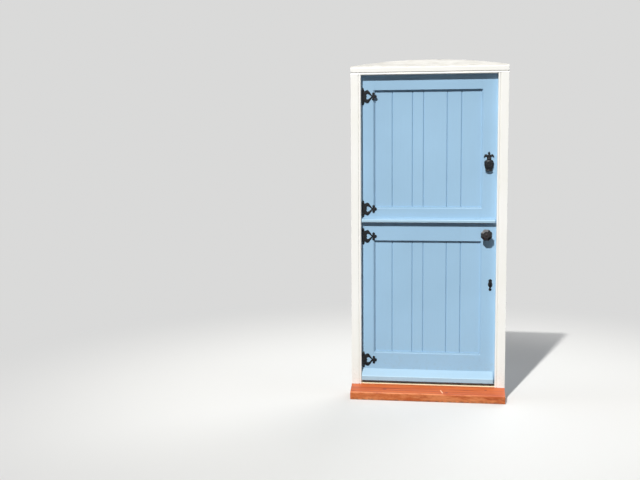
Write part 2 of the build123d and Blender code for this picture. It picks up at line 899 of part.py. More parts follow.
# Ornamental hinge fronts: a half-round bar with ball ends and a pierced, three-lobed plate
def hinge_front(middle):
    """One hinge front, beside the hinge jamb at a height."""
    bar_x = front_edge_gap + front_bar_radius - sight_half
    plate_reach = lobe_reach - lobe_radius
    bow = front_half_height * 0.46
    with BuildPart() as front:
        with BuildSketch(elevation(door_face, bar_x, middle)):
            with BuildLine():
                back = Line((0, -front_bar_half * 0.85), (0, front_bar_half * 0.85))
                top = Spline(
                    back @ 1,
                    (front_half_height * 0.5, front_half_height * 0.98),
                    (front_half_height * 0.92, front_half_height * 0.82),
                    (plate_reach, front_neck_half),
                )
                mirror(top, about=Plane.XZ)
                Line(top @ 1, (plate_reach, -front_neck_half))
            make_face()
            with BuildLine():
                heart = Spline(
                    (front_bar_radius * 2.4, 0),
                    (front_bar_radius * 3, bow * 0.9),
                    (front_bar_radius * 4.2, bow * 0.92),
                    (plate_reach - front_neck_half, 0),
                )
                mirror(heart, about=Plane.XZ)
            make_face(mode=Mode.SUBTRACT)
            for reach, offset, radius in (
                (lobe_reach, lobe_offset, lobe_radius),
                (lobe_reach, -lobe_offset, lobe_radius),
                (tip_lobe_reach, 0, tip_lobe_radius),
            ):
                with Locations((reach, offset)):
                    Circle(radius)
            with Locations(((plate_reach + tip_lobe_reach) / 2, 0)):
                Rectangle(tip_lobe_reach - plate_reach, 2 * lobe_offset)
        extrude(amount=front_plate)
        with Locations((bar_x, door_face, middle)):
            Cylinder(front_bar_radius, 2 * front_bar_half)
        for end, swell in ((Align.MAX, -1), (Align.MIN, 1)):
            widest = middle + swell * (front_bar_half + front_bud_neck)
            bud = (Align.CENTER, Align.CENTER, end)
            with Locations((bar_x, door_face, middle + swell * front_bar_half)):
                Cylinder(front_bud_radius * 0.6, front_bud_neck, align=bud)
            with Locations(Location((bar_x, door_face, widest), (0, 0 if swell > 0 else 180, 0))):
                Cone(front_bud_radius, front_bud_radius * 0.3, front_bud_length, align=upright)
        split(bisect_by=elevation(door_face), keep=Keep.TOP)
    return front.part


for name, middles in (("upper", upper_hinges), ("lower", lower_hinges)):
    with BuildPart() as fronts:
        for middle in middles:
            add(hinge_front(middle))
    keep_part(name + "_hinge_fronts", fronts.part)


# Knocker: a plate with two ears and a hanging urn
with BuildPart() as knocker_plate:
    with BuildSketch(elevation(door_face, knocker_x, knocker_z)):
        with BuildLine():
            bud = Spline(
                (0, knocker_tip),
                (knocker_bud_half, knocker_tip * 0.72),
                (knocker_bud_half * 0.7, knocker_tip * 0.5),
            )
            leaf_top = Spline(
                bud @ 1,
                (knocker_leaf_half * 0.65, knocker_leaf_crest),
                (knocker_leaf_half, knocker_leaf_drop),
            )
            leaf_under = Spline(
                leaf_top @ 1,
                (knocker_leaf_half * 0.62, knocker_tip * 0.2),
                (knocker_neck_half, 0),
            )
            stem = Line(leaf_under @ 1, (knocker_neck_half, -knocker_strike_drop))
            mirror([bud, leaf_top, leaf_under, stem], about=Plane.YZ)
            Line(stem @ 1, (-knocker_neck_half, -knocker_strike_drop))
        make_face()
        with Locations((0, -knocker_strike_drop)):
            Circle(knocker_strike_radius)
    extrude(amount=knocker_plate_thickness)
    with BuildSketch(elevation(knocker_face, knocker_x, knocker_z - knocker_strike_drop)):
        Circle(knocker_strike_radius - knocker_strike_step)
    extrude(amount=knocker_strike)
    for side in (-1, 1):
        inner = side * (knocker_barrel / 2 + knocker_ear_gap)
        with BuildSketch(Plane.YZ.offset(knocker_x + inner)):
            with Locations((knocker_y, knocker_z)):
                Circle(knocker_ear_radius)
            with Locations(((knocker_y + knocker_face) / 2, knocker_z)):
                Rectangle(knocker_pivot_gap, 2 * knocker_ear_radius)
            with Locations((knocker_y, knocker_z)):
                Circle(knocker_pin_radius, mode=Mode.SUBTRACT)
        extrude(amount=side * knocker_ear)
keep_part("knocker_plate", knocker_plate.part)

pin_half = knocker_barrel / 2 + knocker_ear_gap + knocker_ear
with BuildPart() as knocker_pin:
    with BuildSketch(Plane.YZ.offset(knocker_x - pin_half)):
        with Locations((knocker_y, knocker_z)):
            Circle(knocker_pin_radius)
    extrude(amount=2 * pin_half)
keep_part("knocker_pin", knocker_pin.part)

urn_back = knocker_face - knocker_strike - knocker_body_gap
with BuildPart() as urn:
    with BuildSketch(elevation(urn_back, knocker_x, knocker_z)):
        with BuildLine():
            shoulder = Spline(
                (urn_neck_half, -urn_top),
                (urn_half_width * 0.8, -urn_height * 0.2),
                (urn_half_width, -urn_height * 0.4),
                (urn_half_width * 0.85, -urn_height * 0.66),
                (urn_foot_half, urn_rim - urn_height),
            )
            foot = Polyline(
                shoulder @ 1,
                (urn_rim_half, urn_rim - urn_height),
                (urn_rim_half, -urn_height),
            )
            mirror([shoulder, foot], about=Plane.YZ)
            Line(foot @ 1, (-urn_rim_half, -urn_height))
            Line(shoulder @ 0, (-urn_neck_half, -urn_top))
        make_face()
    extrude(amount=urn_thickness)
    chamfer(urn.faces().sort_by(Axis.Y)[0].edges(), urn_arris)
    with BuildSketch(elevation(urn_back - urn_thickness, knocker_x, knocker_z - urn_boss_drop)):
        Ellipse(urn_half_width - urn_border, urn_boss_radius + urn_border)
    extrude(amount=-urn_relief, mode=Mode.SUBTRACT)
    relief_face = urn_back - urn_thickness + urn_relief
    boss_middle = (knocker_x, relief_face - urn_relief, knocker_z - urn_boss_drop)
    with Locations(Location(boss_middle, (90, 0, 0))):
        Cone(urn_boss_radius, urn_boss_radius * 0.6, 2 * urn_relief)
    with BuildSketch(Plane.YZ.offset(knocker_x - knocker_barrel / 2)):
        with Locations((knocker_y, knocker_z)):
            Circle(knocker_barrel_radius)
        with Locations((knocker_y, knocker_z - knocker_barrel_radius)):
            Rectangle(urn_neck_depth, 2 * knocker_barrel_radius)
    extrude(amount=knocker_barrel)
    with BuildSketch(Plane.YZ.offset(knocker_x - knocker_barrel / 2)):
        with Locations((knocker_y, knocker_z)):
            Circle(knocker_pin_radius + pin_play)
    extrude(amount=knocker_barrel, mode=Mode.SUBTRACT)
keep_part("knocker_urn", urn.part)


# Stable bolt on the inner face: plate with straps, rod with a grip, keeper on the upper leaf
def strapped_plate(low, height, straps):
    """A flat plate on the inner face with straps that the rod slides in, as heights and lengths."""
    reach = tower_rod_radius + tower_strap_play
    outer = reach + tower_strap_wall
    with BuildPart() as plate:
        block(
            (tower_x - tower_plate_width / 2, leaf_back, low),
            (tower_x + tower_plate_width / 2, leaf_back + tower_plate, low + height),
        )
        for start, length in straps:
            with BuildSketch(Plane.XY.offset(low + start)):
                with Locations((tower_x, tower_y)):
                    Circle(outer)
                with Locations((tower_x, (leaf_back + tower_y) / 2)):
                    Rectangle(2 * outer, tower_y - leaf_back)
                with Locations((tower_x, tower_y)):
                    Circle(reach, mode=Mode.SUBTRACT)
            extrude(amount=length)
    return plate.part


tower_straps = (
    (tower_strap_inset, tower_strap),
    (tower_plate_height - tower_strap_inset - tower_strap, tower_strap),
)
keep_part("stable_bolt_plate", strapped_plate(tower_base, tower_plate_height, tower_straps))

with BuildPart() as tower_rod:
    with BuildSketch(Plane.XY.offset(tower_base + tower_plate_height - tower_rod_length)):
        with Locations((tower_x, tower_y)):
            Circle(tower_rod_radius)
    extrude(amount=tower_rod_length)
    chamfer(tower_rod.edges().group_by(Axis.Z)[-1], 1)
    grip_z = tower_base + tower_grip_rise
    with BuildSketch(Plane(origin=(tower_x, tower_y, grip_z), x_dir=(-1, 0, 0), z_dir=(0, 1, 0))):
        Circle(tower_grip_radius)
    extrude(amount=tower_grip_reach)
    chamfer(tower_rod.faces().sort_by(Axis.Y)[-1].edges(), tower_grip_arris)
keep_part("stable_bolt", tower_rod.part)

keeper_strap = ((0, tower_strap),)
keep_part("stable_bolt_keeper", strapped_plate(upper_bottom + keeper_rise, keeper_height, keeper_strap))

os.makedirs("parts", exist_ok=True)
for name, part in made.items():
    export_step(part, f"parts/{name}.step")
print(len(made), "parts")
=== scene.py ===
"""Dutch stable door in its frame: painted timber, a stained sill and black iron furniture."""
import json
import math
import random

import bmesh
import bpy
from mathutils import Matrix, Vector, noise


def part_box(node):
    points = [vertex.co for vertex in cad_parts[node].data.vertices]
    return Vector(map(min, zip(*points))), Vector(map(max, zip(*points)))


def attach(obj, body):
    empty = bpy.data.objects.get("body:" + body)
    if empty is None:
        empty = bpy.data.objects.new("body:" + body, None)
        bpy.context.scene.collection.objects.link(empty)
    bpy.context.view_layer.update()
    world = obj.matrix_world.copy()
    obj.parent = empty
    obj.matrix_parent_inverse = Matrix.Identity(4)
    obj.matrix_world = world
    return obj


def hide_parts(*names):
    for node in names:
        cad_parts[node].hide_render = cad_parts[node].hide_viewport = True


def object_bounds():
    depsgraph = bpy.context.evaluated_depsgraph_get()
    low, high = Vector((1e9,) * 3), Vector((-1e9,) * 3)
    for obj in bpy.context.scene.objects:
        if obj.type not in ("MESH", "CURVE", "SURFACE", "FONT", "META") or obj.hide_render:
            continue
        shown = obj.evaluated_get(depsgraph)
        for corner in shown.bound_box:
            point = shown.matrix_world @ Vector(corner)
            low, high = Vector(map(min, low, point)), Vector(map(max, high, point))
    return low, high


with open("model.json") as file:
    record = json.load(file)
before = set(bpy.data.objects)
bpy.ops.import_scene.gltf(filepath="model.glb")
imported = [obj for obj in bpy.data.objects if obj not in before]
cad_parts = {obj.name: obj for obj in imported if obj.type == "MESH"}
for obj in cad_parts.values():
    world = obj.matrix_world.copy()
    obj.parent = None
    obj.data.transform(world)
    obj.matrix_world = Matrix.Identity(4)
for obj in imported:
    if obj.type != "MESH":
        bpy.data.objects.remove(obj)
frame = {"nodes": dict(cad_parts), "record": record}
cad_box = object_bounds()
record = frame["record"]
body_of = {node: body for body, nodes in record["behaviour"]["bodies"].items() for node in nodes}
slot_of = {part["node"]: part["material_slot"] for part in record["subparts"]}

UP = Vector((0, 0, 1))
ACROSS = Vector((1, 0, 0))
OUTSIDE = Vector((0, -1, 0))
INSIDE = Vector((0, 1, 0))


def middle_of(node):
    """The middle of a CAD node's box."""
    low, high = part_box(node)
    return (low + high) / 2


# Places that the frame gives
leaf_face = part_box("upper_lock_stile")[0].y
leaf_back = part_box("upper_lock_stile")[1].y
board_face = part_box("upper_board_1")[0].y
board_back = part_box("upper_board_1")[1].y
leaves_meet = 1.09  # height of the lower end of the upper leaf
sill_low, sill_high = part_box("sill")
keyhole = middle_of("outer_escutcheon")
knob_middle = middle_of("outer_knob")
pivot = middle_of("knocker_pin")

# Camera, fitted to the lines of the door
camera_place = (0.1748, -5.7918, 1.6568)
camera_turn = (83.4, 0.453, 8.213)  # degrees
focal_length = 53.44
film_width = 36.0


class Socket:
    """An output of a node. Arithmetic on it adds Math nodes."""

    def __init__(self, owner, output):
        self.owner = owner
        self.output = output

    def math(self, operation, *values):
        return self.owner.node("ShaderNodeMath", {"operation": operation}, dict(enumerate(values)))

    def __add__(self, other):
        return self.math("ADD", self, other)

    def __sub__(self, other):
        return self.math("SUBTRACT", self, other)

    def __mul__(self, other):
        return self.math("MULTIPLY", self, other)

    def __gt__(self, other):
        return self.math("GREATER_THAN", self, other)

    def __lt__(self, other):
        return self.math("LESS_THAN", self, other)

    def __rsub__(self, other):
        return self.math("SUBTRACT", other, self)

    def larger(self, other):
        """The larger of two values."""
        return self.math("MAXIMUM", self, other)

    __radd__ = __add__
    __rmul__ = __mul__


class Nodes:
    """A node tree in the making."""

    def __init__(self, tree):
        self.tree = tree

    def node(self, kind, settings=None, sockets=None, output=0):
        """Adds a node: its settings first, then the values and links of its sockets."""
        made = self.tree.nodes.new(kind)
        for key, value in (settings or {}).items():
            if key == "stops":
                ends = made.color_ramp.elements
                ends[0].position, ends[1].position = value[0][0], value[-1][0]
                for position, colour in value[1:-1]:
                    ends.new(position)
                for stop, (position, colour) in zip(ends, value):
                    stop.color = (*colour, 1)
            else:
                setattr(made, key, value)
        for key, value in (sockets or {}).items():
            if isinstance(value, Socket):
                self.tree.links.new(value.output, made.inputs[key])
            else:
                made.inputs[key].default_value = value
        return Socket(self, made.outputs[output])

    def show(self, shader):
        """Links a shader to the output that the tree starts with."""
        end = next(node for node in self.tree.nodes if node.type.startswith("OUTPUT"))
        self.tree.links.new(shader.output, end.inputs["Surface"])


class Finish(Nodes):
    """A material in the making: a Principled shader and the nodes that feed it."""

    def __init__(self, name, roughness=0.5, metallic=0.0, coat=0.0):
        self.material = bpy.data.materials.new(name)
        self.material.use_nodes = True
        super().__init__(self.material.node_tree)
        self.shader = self.tree.nodes["Principled BSDF"]
        self.feed("Roughness", roughness)
        self.feed("Metallic", metallic)
        self.feed("Coat Weight", coat)
        self.place = self.node("ShaderNodeTexCoord", output="Object")
        self.height = None

    def feed(self, name, value):
        """Sets a socket of the shader to a number or colour, or links it."""
        if isinstance(value, Socket):
            self.tree.links.new(value.output, self.shader.inputs[name])
        elif isinstance(value, tuple):
            self.shader.inputs[name].default_value = (*value, 1)
        else:
            self.shader.inputs[name].default_value = value

    def axis(self, name):
        """One coordinate of the surface, in metres."""
        return self.node("ShaderNodeSeparateXYZ", sockets={0: self.place}, output=name)

    def stretched(self, stretch, shift=(0, 0, 0)):
        """The place, stretched along the axes and shifted."""
        sockets = {"Vector": self.place, "Location": shift, "Scale": stretch}
        return self.node("ShaderNodeMapping", {"vector_type": "POINT"}, sockets)

    def noise(self, scale, detail=2.0, stretch=(1, 1, 1), rough=0.5, distortion=0.0):
        """Cloudy noise from 0 to 1."""
        sockets = {
            "Vector": self.stretched(stretch),
            "Scale": scale,
            "Detail": detail,
            "Roughness": rough,
            "Distortion": distortion,
        }
        return self.node("ShaderNodeTexNoise", sockets=sockets)

    def cells(self, scale):
        """Distance to the nearest of many scattered points."""
        return self.node("ShaderNodeTexVoronoi", sockets={"Vector": self.place, "Scale": scale})

    def ramp(self, value, low, high, at_low=0.0, at_high=1.0):
        """A smooth step from one value to another."""
        settings = {"interpolation_type": "SMOOTHSTEP"}
        sockets = {"Value": value, "From Min": low, "From Max": high, "To Min": at_low, "To Max": at_high}
        return self.node("ShaderNodeMapRange", settings, sockets)

    def shades(self, value, *stops):
        """A colour from a ramp of stops."""
        return self.node("ShaderNodeValToRGB", {"stops": stops}, {0: value})

    def mix(self, factor, first, second):
        """Two colours, blended."""
        colours = [(*c, 1) if isinstance(c, tuple) else c for c in (first, second)]
        sockets = {0: factor, 6: colours[0], 7: colours[1]}
        return self.node("ShaderNodeMix", {"data_type": "RGBA"}, sockets, output=2)

    def near(self, centre, reach):
        """1 at a point, falling to 0 at its reach along each axis."""
        scale = [1 / r for r in reach]
        shift = [-c / r for c, r in zip(centre, reach)]
        return self.ramp(self.length(self.stretched(scale, shift)), 0.35, 1.0, 1.0, 0.0)

    def length(self, vector):
        """How long a vector is."""
        return self.node("ShaderNodeVectorMath", {"operation": "LENGTH"}, {0: vector}, "Value")

    def raise_by(self, height, distance, strength=1.0):
        """Adds relief: a height from 0 to 1 times a distance in metres."""
        sockets = {"Strength": strength, "Distance": distance, "Height": height}
        if self.height:
            sockets["Normal"] = self.height
        self.height = self.node("ShaderNodeBump", sockets=sockets)
        self.feed("Normal", self.height)


def display(red, green, blue):
    """A colour given in display values from 0 to 255."""
    parts = [v / 255 for v in (red, green, blue)]
    return tuple(v / 12.92 if v <= 0.04045 else ((v + 0.055) / 1.055) ** 2.4 for v in parts)


# Finishes
UPRIGHT = (1, 1, 0.03)  # stretch of a pattern that runs up a post or a board
LEVEL = (0.03, 1, 1)  # and of one that runs along a rail
splashed_grey = display(148, 158, 158)


def brushed_paint(name, colour, grain, roughness, relief):
    """Paint brushed along the grain of softwood, with the grain telegraphing through."""
    paint = Finish(name, roughness=roughness, coat=0.12)
    brush = paint.noise(150, 3, grain, rough=0.62)
    fibre = paint.noise(420, 2, grain, rough=0.5)
    cloud = paint.noise(2.2, 3)
    tone = paint.ramp(cloud, 0.25, 0.75, 0.0, 1.0)
    dark = tuple(v * 0.955 for v in colour)
    light = tuple(min(1.0, v * 1.03) for v in colour)
    base = paint.mix(tone, dark, light)
    base = paint.mix(paint.ramp(brush, 0.30, 0.80, 0.0, 0.30), base, tuple(v * 0.93 for v in colour))
    paint.feed("Roughness", paint.ramp(brush, 0.2, 0.8, roughness - 0.06, roughness + 0.10))
    paint.raise_by(brush, relief, 0.55)
    paint.raise_by(fibre, relief * 0.5, 0.45)
    return paint, base


def splash(paint, base, low, high, colour, strength):
    """Dirt splashed up from the ground: strongest at the low height and gone at the high one."""
    climb = paint.ramp(paint.axis("Z"), low, high, 1.0, 0.0)
    specks = paint.ramp(paint.noise(70, 5, rough=0.7), 0.50, 0.72)
    veil = paint.ramp(paint.noise(9, 4), 0.35, 0.7, 0.25, 1.0)
    return paint.mix(climb * (specks * 0.6 + veil * 0.4) * strength, base, colour)


def door_paint(name, grain, blue, grooves=False, ledge=0.0):
    """Pale blue paint of the leaves, darker on the ledges round the boards as dust and painted shade."""
    paint, base = brushed_paint(name, blue, grain, 0.40, 0.00025)
    depth = paint.axis("Y")
    if ledge:
        # Ledges and the sides of the panel recesses are painted darker: dust and painted shade.
        ledge_dust_and_shade = paint.ramp(depth, leaf_face + 0.0004, leaf_face + 0.0016) * (depth < board_face + 0.001)
        base = paint.mix(ledge_dust_and_shade * ledge, base, display(112, 146, 172))
    if grooves:
        # The V-joints are painted darker: painted shade with some dust.
        outer = paint.ramp(depth, board_face + 0.0018, board_face + 0.0040)
        inner = paint.ramp(depth, board_back - 0.0018, board_back - 0.0040)
        base = paint.mix(outer * inner * 0.5, base, display(84, 118, 148))
    in_leaf = (depth > leaf_face + 0.0006) * (depth < leaf_back - 0.0006)
    # The walls of the keyhole are painted near black: painted shade.
    keyhole_painted_shade = paint.near(keyhole, (0.016, 1.0, 0.034)) * 2.0
    base = paint.mix(keyhole_painted_shade * in_leaf, base, display(16, 15, 14))
    base = splash(paint, base, 0.10, 0.42, splashed_grey, 0.35)
    drips = paint.ramp(paint.noise(60, 2, (1, 1, 0.02)), 0.60, 0.80)
    under_bar = paint.ramp(paint.axis("Z"), 0.80, 1.08) * (paint.axis("Z") < leaves_meet)
    base = paint.mix(drips * under_bar * 0.10, base, display(120, 140, 150))
    paint.feed("Base Color", base)
    return paint.material


def bar_paint():
    """Paint of the two weather bars: a darker blue as painted shade on their upward slopes, a still darker
    slope on the weather bar, and a lighter nose.
    """
    paint, base = brushed_paint("blue_paint_bars", bar_blue_painted_shade, LEVEL, 0.40, 0.00025)
    for node in ("weather_bar", "weatherboard"):
        low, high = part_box(node)
        nose = paint.ramp(paint.axis("Y"), low.y + 0.0045, low.y + 0.0005)
        at_bar = (paint.axis("Z") > low.z - 0.01) * (paint.axis("Z") < high.z + 0.01)
        if node == "weather_bar":
            # On the weather bar the slope behind the nose is painted darker: painted shade.
            base = paint.mix((1 - nose) * at_bar * 0.9, base, display(142, 175, 201))
        # The nose is painted lighter than the rest of the bar.
        base = paint.mix(nose * at_bar * 0.85, base, display(174, 207, 228))
    base = splash(paint, base, 0.08, 0.20, splashed_grey, 0.30)
    paint.feed("Base Color", base)
    return paint.material


def frame_paint(name, grain):
    """White paint of the jambs and the head, a little yellowed."""
    white = display(255, 255, 251)
    paint, base = brushed_paint(name, white, grain, 0.36, 0.00030)
    aged = paint.ramp(paint.noise(5, 4, rough=0.6), 0.50, 0.80, 0.0, 0.30)
    base = paint.mix(aged, base, display(246, 243, 233))
    # The quirk of the bead is painted darker: painted shade and grime.
    quirk_shade_and_grime = paint.ramp(paint.axis("Y"), 0.0008, 0.0026) * (paint.axis("Y") < 0.0045)
    base = paint.mix(quirk_shade_and_grime * 0.2, base, display(180, 175, 166))
    base = splash(paint, base, 0.06, 0.30, display(150, 138, 120), 0.45)
    hairs = paint.ramp(paint.noise(30, 5, grain, rough=0.75), 0.70, 0.78)
    base = paint.mix(hairs * 0.22, base, display(178, 172, 160))
    paint.feed("Base Color", base)
    return paint.material


def infill_paint():
    """White paint over a rough, hand-filled surface with level ridges."""
    paint = Finish("rough_white_infill", roughness=0.62)
    lumps = paint.noise(38, 4, (0.35, 1, 1.4), rough=0.6)
    ridges = paint.noise(16, 3, (0.12, 1, 4.5), rough=0.55, distortion=0.5)
    grit = paint.noise(420, 2)
    base = paint.mix(paint.ramp(lumps, 0.3, 0.75), display(250, 249, 246), display(238, 236, 230))
    base = paint.mix(paint.ramp(ridges, 0.56, 0.62) * 0.30, base, display(206, 203, 198))
    stain = paint.ramp(paint.noise(7, 5, rough=0.7), 0.58, 0.80, 0.0, 0.18)
    base = paint.mix(stain, base, display(222, 210, 190))
    paint.feed("Base Color", base)
    paint.raise_by(ridges, 0.0035, 0.6)
    paint.raise_by(lumps, 0.0016, 0.6)
    paint.raise_by(grit, 0.0003, 0.5)
    return paint.material


def sill_stain():
    """Orange-red stain on weathered softwood: grain, knots, worn nose, dirt and a spot of paint."""
    stain = Finish("orange_stained_timber", roughness=0.5, coat=0.08)
    rings = stain.noise(46, 5, (0.035, 1, 1), rough=0.6, distortion=0.35)
    fibre = stain.noise(380, 3, (0.03, 1, 1), rough=0.6)
    base = stain.shades(
        rings,
        (0.30, display(146, 62, 30)),
        (0.44, display(197, 97, 45)),
        (0.58, display(206, 107, 51)),
        (0.72, display(164, 74, 36)),
    )
    base = stain.mix(stain.ramp(fibre, 0.4, 0.8, 0.0, 0.40), base, display(150, 62, 32))
    patches = stain.ramp(stain.noise(5, 4, (0.5, 1, 1)), 0.42, 0.72)
    base = stain.mix(patches * 0.35, base, display(186, 82, 42))
    streaks = stain.ramp(stain.noise(62, 4, (0.016, 1, 1), rough=0.6), 0.52, 0.66)
    nose = stain.ramp(stain.axis("Y"), sill_low.y + 0.016, sill_low.y + 0.002)
    base = stain.mix(streaks * (1 - nose * 0.7) * 0.55, base, display(138, 54, 28))
    rub = stain.ramp(stain.noise(26, 5, (0.3, 1, 1), rough=0.7), 0.38, 0.62)
    base = stain.mix(nose * rub * 0.60, base, display(244, 158, 102))
    for x, y, size in knots:
        ring = stain.near((x, y, sill_high.z * 0.7), (size * 1.8, size, 0.06))
        base = stain.mix(ring * 0.75, base, display(128, 52, 30))
    foot = stain.ramp(stain.axis("Z"), 0.0, 0.020, 1.0, 0.0)
    dirt = stain.ramp(stain.noise(40, 5, rough=0.7), 0.35, 0.7)
    base = stain.mix(foot * dirt * 0.7, base, display(104, 74, 54))
    at_strip = stain.ramp(stain.axis("Y"), -0.020, 0.004)
    base = stain.mix(at_strip * dirt * 0.55, base, display(120, 66, 44))
    for centre, reach in paint_spots:
        base = stain.mix(stain.near(centre, reach) * 0.9, base, display(246, 196, 160))
    stain.feed("Base Color", base)
    stain.feed("Roughness", stain.ramp(rings, 0.3, 0.7, 0.42, 0.62))
    stain.raise_by(rings, 0.0007, 0.6)
    stain.raise_by(fibre, 0.0003, 0.6)
    return stain.material


def strip_paint():
    """Cream paint of the threshold strip, scuffed by feet."""
    paint, base = brushed_paint("cream_strip", display(247, 226, 190), LEVEL, 0.45, 0.0002)
    scuff = paint.ramp(paint.noise(55, 5, (0.25, 1, 1), rough=0.75), 0.52, 0.70)
    base = paint.mix(scuff * 0.45, base, display(176, 140, 100))
    paint.feed("Base Color", base)
    return paint.material


def black_iron(name, cast, roughness, wear_and_glint=0.22, patina=None, gloss=0.34):
    """Japanned iron: a cast or hammered skin, lighter on the arrises (rubbed wear, and painted highlights
    where that is strong), with dust in the hollows.
    """
    iron = Finish(name, roughness=roughness)
    iron.feed("Specular IOR Level", gloss)
    skin = iron.noise(330, 4, rough=0.6)
    hammer = iron.cells(150)
    cloud = iron.noise(30, 3)
    base = iron.mix(iron.ramp(cloud, 0.3, 0.7), display(8, 12, 18), display(15, 19, 26))
    arris_wear_and_glint = iron.node("ShaderNodeAttribute", {"attribute_name": "arris"}, output="Fac")
    patchy = iron.ramp(iron.noise(120, 4, rough=0.65), 0.40, 0.62)
    base = iron.mix(arris_wear_and_glint * patchy * wear_and_glint, base, display(104, 104, 104))
    dust = iron.ramp(iron.noise(18, 4, rough=0.6), 0.60, 0.84, 0.0, 0.20)
    base = iron.mix(dust, base, display(80, 76, 70))
    if patina:
        centre, reach = patina
        base = iron.mix(iron.near(centre, (reach, 1.0, reach)) * 0.8, base, display(50, 42, 42))
    iron.feed("Base Color", base)
    iron.feed("Roughness", iron.ramp(skin, 0.25, 0.75, roughness - 0.10, roughness + 0.14))
    iron.raise_by(hammer, cast, 0.5)
    iron.raise_by(skin, cast * 0.35, 0.6)
    return iron.material


def metal(name, light, dark, roughness, stretch, painted_dark_to=None):
    """Bare metal with drawn lines and dull spots, painted dark up to an X inside the leaf as painted shade.
    """
    bare = Finish(name, roughness=roughness, metallic=1.0)
    lines = bare.noise(500, 2, stretch)
    dull = bare.ramp(bare.noise(60, 5, rough=0.7), 0.50, 0.72)
    base = bare.mix(dull, light, dark)
    if painted_dark_to:
        # Inside the leaf the steel is painted dark: painted shade seen through the keyhole.
        base = bare.mix(bare.axis("X") < painted_dark_to, base, display(48, 46, 44))
    bare.feed("Base Color", base)
    bare.feed("Roughness", bare.ramp(lines, 0.2, 0.8, roughness - 0.08, roughness + 0.12) + dull * 0.2)
    bare.raise_by(lines, 0.00008, 0.5)
    return bare.material


knots = (
    (-0.262, -0.050, 0.010),
    (0.118, -0.072, 0.008),
    (0.356, -0.032, 0.007),
)
chip_start = Vector((0.083, -0.051, 0.052))
chip_step = Vector((0.0027, -0.0060, 0))
chip_reach = (0.0052, 0.0078, 0.05)
paint_spots = [(chip_start + chip_step * number, chip_reach) for number in range(5)]
door_blue = display(162, 200, 230)
# Darker than the door's blue: painted shade for the bars' upward faces.
bar_blue_painted_shade = display(154, 188, 213)
blue_upright = door_paint("blue_paint_upright", UPRIGHT, door_blue, ledge=0.1)
blue_level = door_paint("blue_paint_level", LEVEL, door_blue, ledge=0.75)
blue_boards = door_paint("blue_paint_boards", UPRIGHT, door_blue, grooves=True)
blue_bars = bar_paint()
white_upright = frame_paint("white_paint_upright", UPRIGHT)
white_level = frame_paint("white_paint_level", LEVEL)
rough_white = infill_paint()
orange_stain = sill_stain()
cream = strip_paint()
iron = black_iron("black_iron_cast", 0.0004, 0.42)
iron_smooth = black_iron("black_iron_smooth", 0.00018, 0.34)
# On the knob the strong arris wear is partly painted highlights on its facets.
iron_knob = black_iron("black_iron_knob", 0.00010, 0.17, wear_and_glint=0.6, patina=(knob_middle, 0.024), gloss=0.5)
forend_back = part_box("lock_case")[1].x - 0.0028
lock_steel = metal(
    "lock_steel", display(196, 190, 176), display(132, 124, 108), 0.36, (1, 1, 0.04), forend_back
)
steel = metal("zinc_steel", display(198, 198, 194), display(140, 138, 132), 0.34, (1, 1, 0.04))
brass = metal("plain_brass", display(214, 176, 104), display(150, 112, 62), 0.30, (0.04, 1, 1))


# Making and dressing pieces
def mark_arrises(mesh):
    """Stores how far each vertex stands out, for the wear and painted highlights along arrises."""
    shape = bmesh.new()
    shape.from_mesh(mesh)
    values = []
    for vert in shape.verts:
        angles = [e.calc_face_angle_signed(0.0) for e in vert.link_edges if len(e.link_faces) == 2]
        values.append(min(1.0, max(0.0, max(angles, default=0.0) / math.radians(40))))
    shape.free()
    mesh.attributes.new("arris", "FLOAT", "POINT").data.foreach_set("value", values)


def new_piece(name, shape, material, body, stands_for=(), smooth=32):
    """Turns a finished bmesh into a piece that rides on a body."""
    mesh = bpy.data.meshes.new(name)
    shape.normal_update()
    shape.to_mesh(mesh)
    shape.free()
    mesh.shade_smooth()
    mesh.set_sharp_from_angle(angle=math.radians(smooth))
    mark_arrises(mesh)
    mesh.materials.append(material)
    piece = bpy.data.objects.new(name, mesh)
    bpy.context.scene.collection.objects.link(piece)
    level = piece.modifiers.new("flat_faces_stay_flat", "WEIGHTED_NORMAL")
    level.keep_sharp = True
    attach(piece, body)
    if stands_for:
        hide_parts(*stands_for)
    return piece


def copy_of(node):
    """A CAD node's mesh as one closed bmesh of flat faces."""
    shape = bmesh.new()
    shape.from_mesh(frame["nodes"][node].data)
    bmesh.ops.remove_doubles(shape, verts=shape.verts, dist=2e-6)
    bmesh.ops.dissolve_limit(
        shape,
        angle_limit=math.radians(0.5),
        verts=shape.verts,
        edges=shape.edges,
        use_dissolve_boundaries=False,
    )
    return shape


def ease(shape, radius, steps=2):
    """Rounds the outer arrises of a shape."""
    least = math.radians(28)  # turn from one face to the next at an arris
    arrises = [
        edge
        for edge in shape.edges
        if len(edge.link_faces) == 2 and edge.is_convex and edge.calc_face_angle(0.0) > least
    ]
    bmesh.ops.bevel(
        shape,
        geom=arrises,
        offset=radius,
        offset_type="OFFSET",
        segments=steps,
        profile=0.5,
        affect="EDGES",
        clamp_overlap=True,
        material=-1,
    )
    return shape


def eased_node(node, material, radius, steps=2, smooth=32):
    """Shows a node with its arrises rounded."""
    shape = ease(copy_of(node), radius, steps)
    return new_piece(node + "_eased", shape, material, body_of[node], (node,), smooth)


def finish_node(node, material):
    """Gives a node that stays as it is its finish."""
    for place in frame["nodes"][node].material_slots:
        place.material = material


def template_of(shape, name):
    """A bmesh as a mesh that copies are taken from."""
    mesh = bpy.data.meshes.new(name)
    shape.to_mesh(mesh)
    shape.free()
    return mesh


def block_template(name, softness):
    """A cube of 1 m with rounded arrises, stretched to size where it is used."""
    shape = bmesh.new()
    bmesh.ops.create_cube(shape, size=1)
    return template_of(ease(shape, softness), name)


def sized(x, y, z):
    """The matrix that stretches a template along the axes."""
    return Matrix.Diagonal((x, y, z, 1))


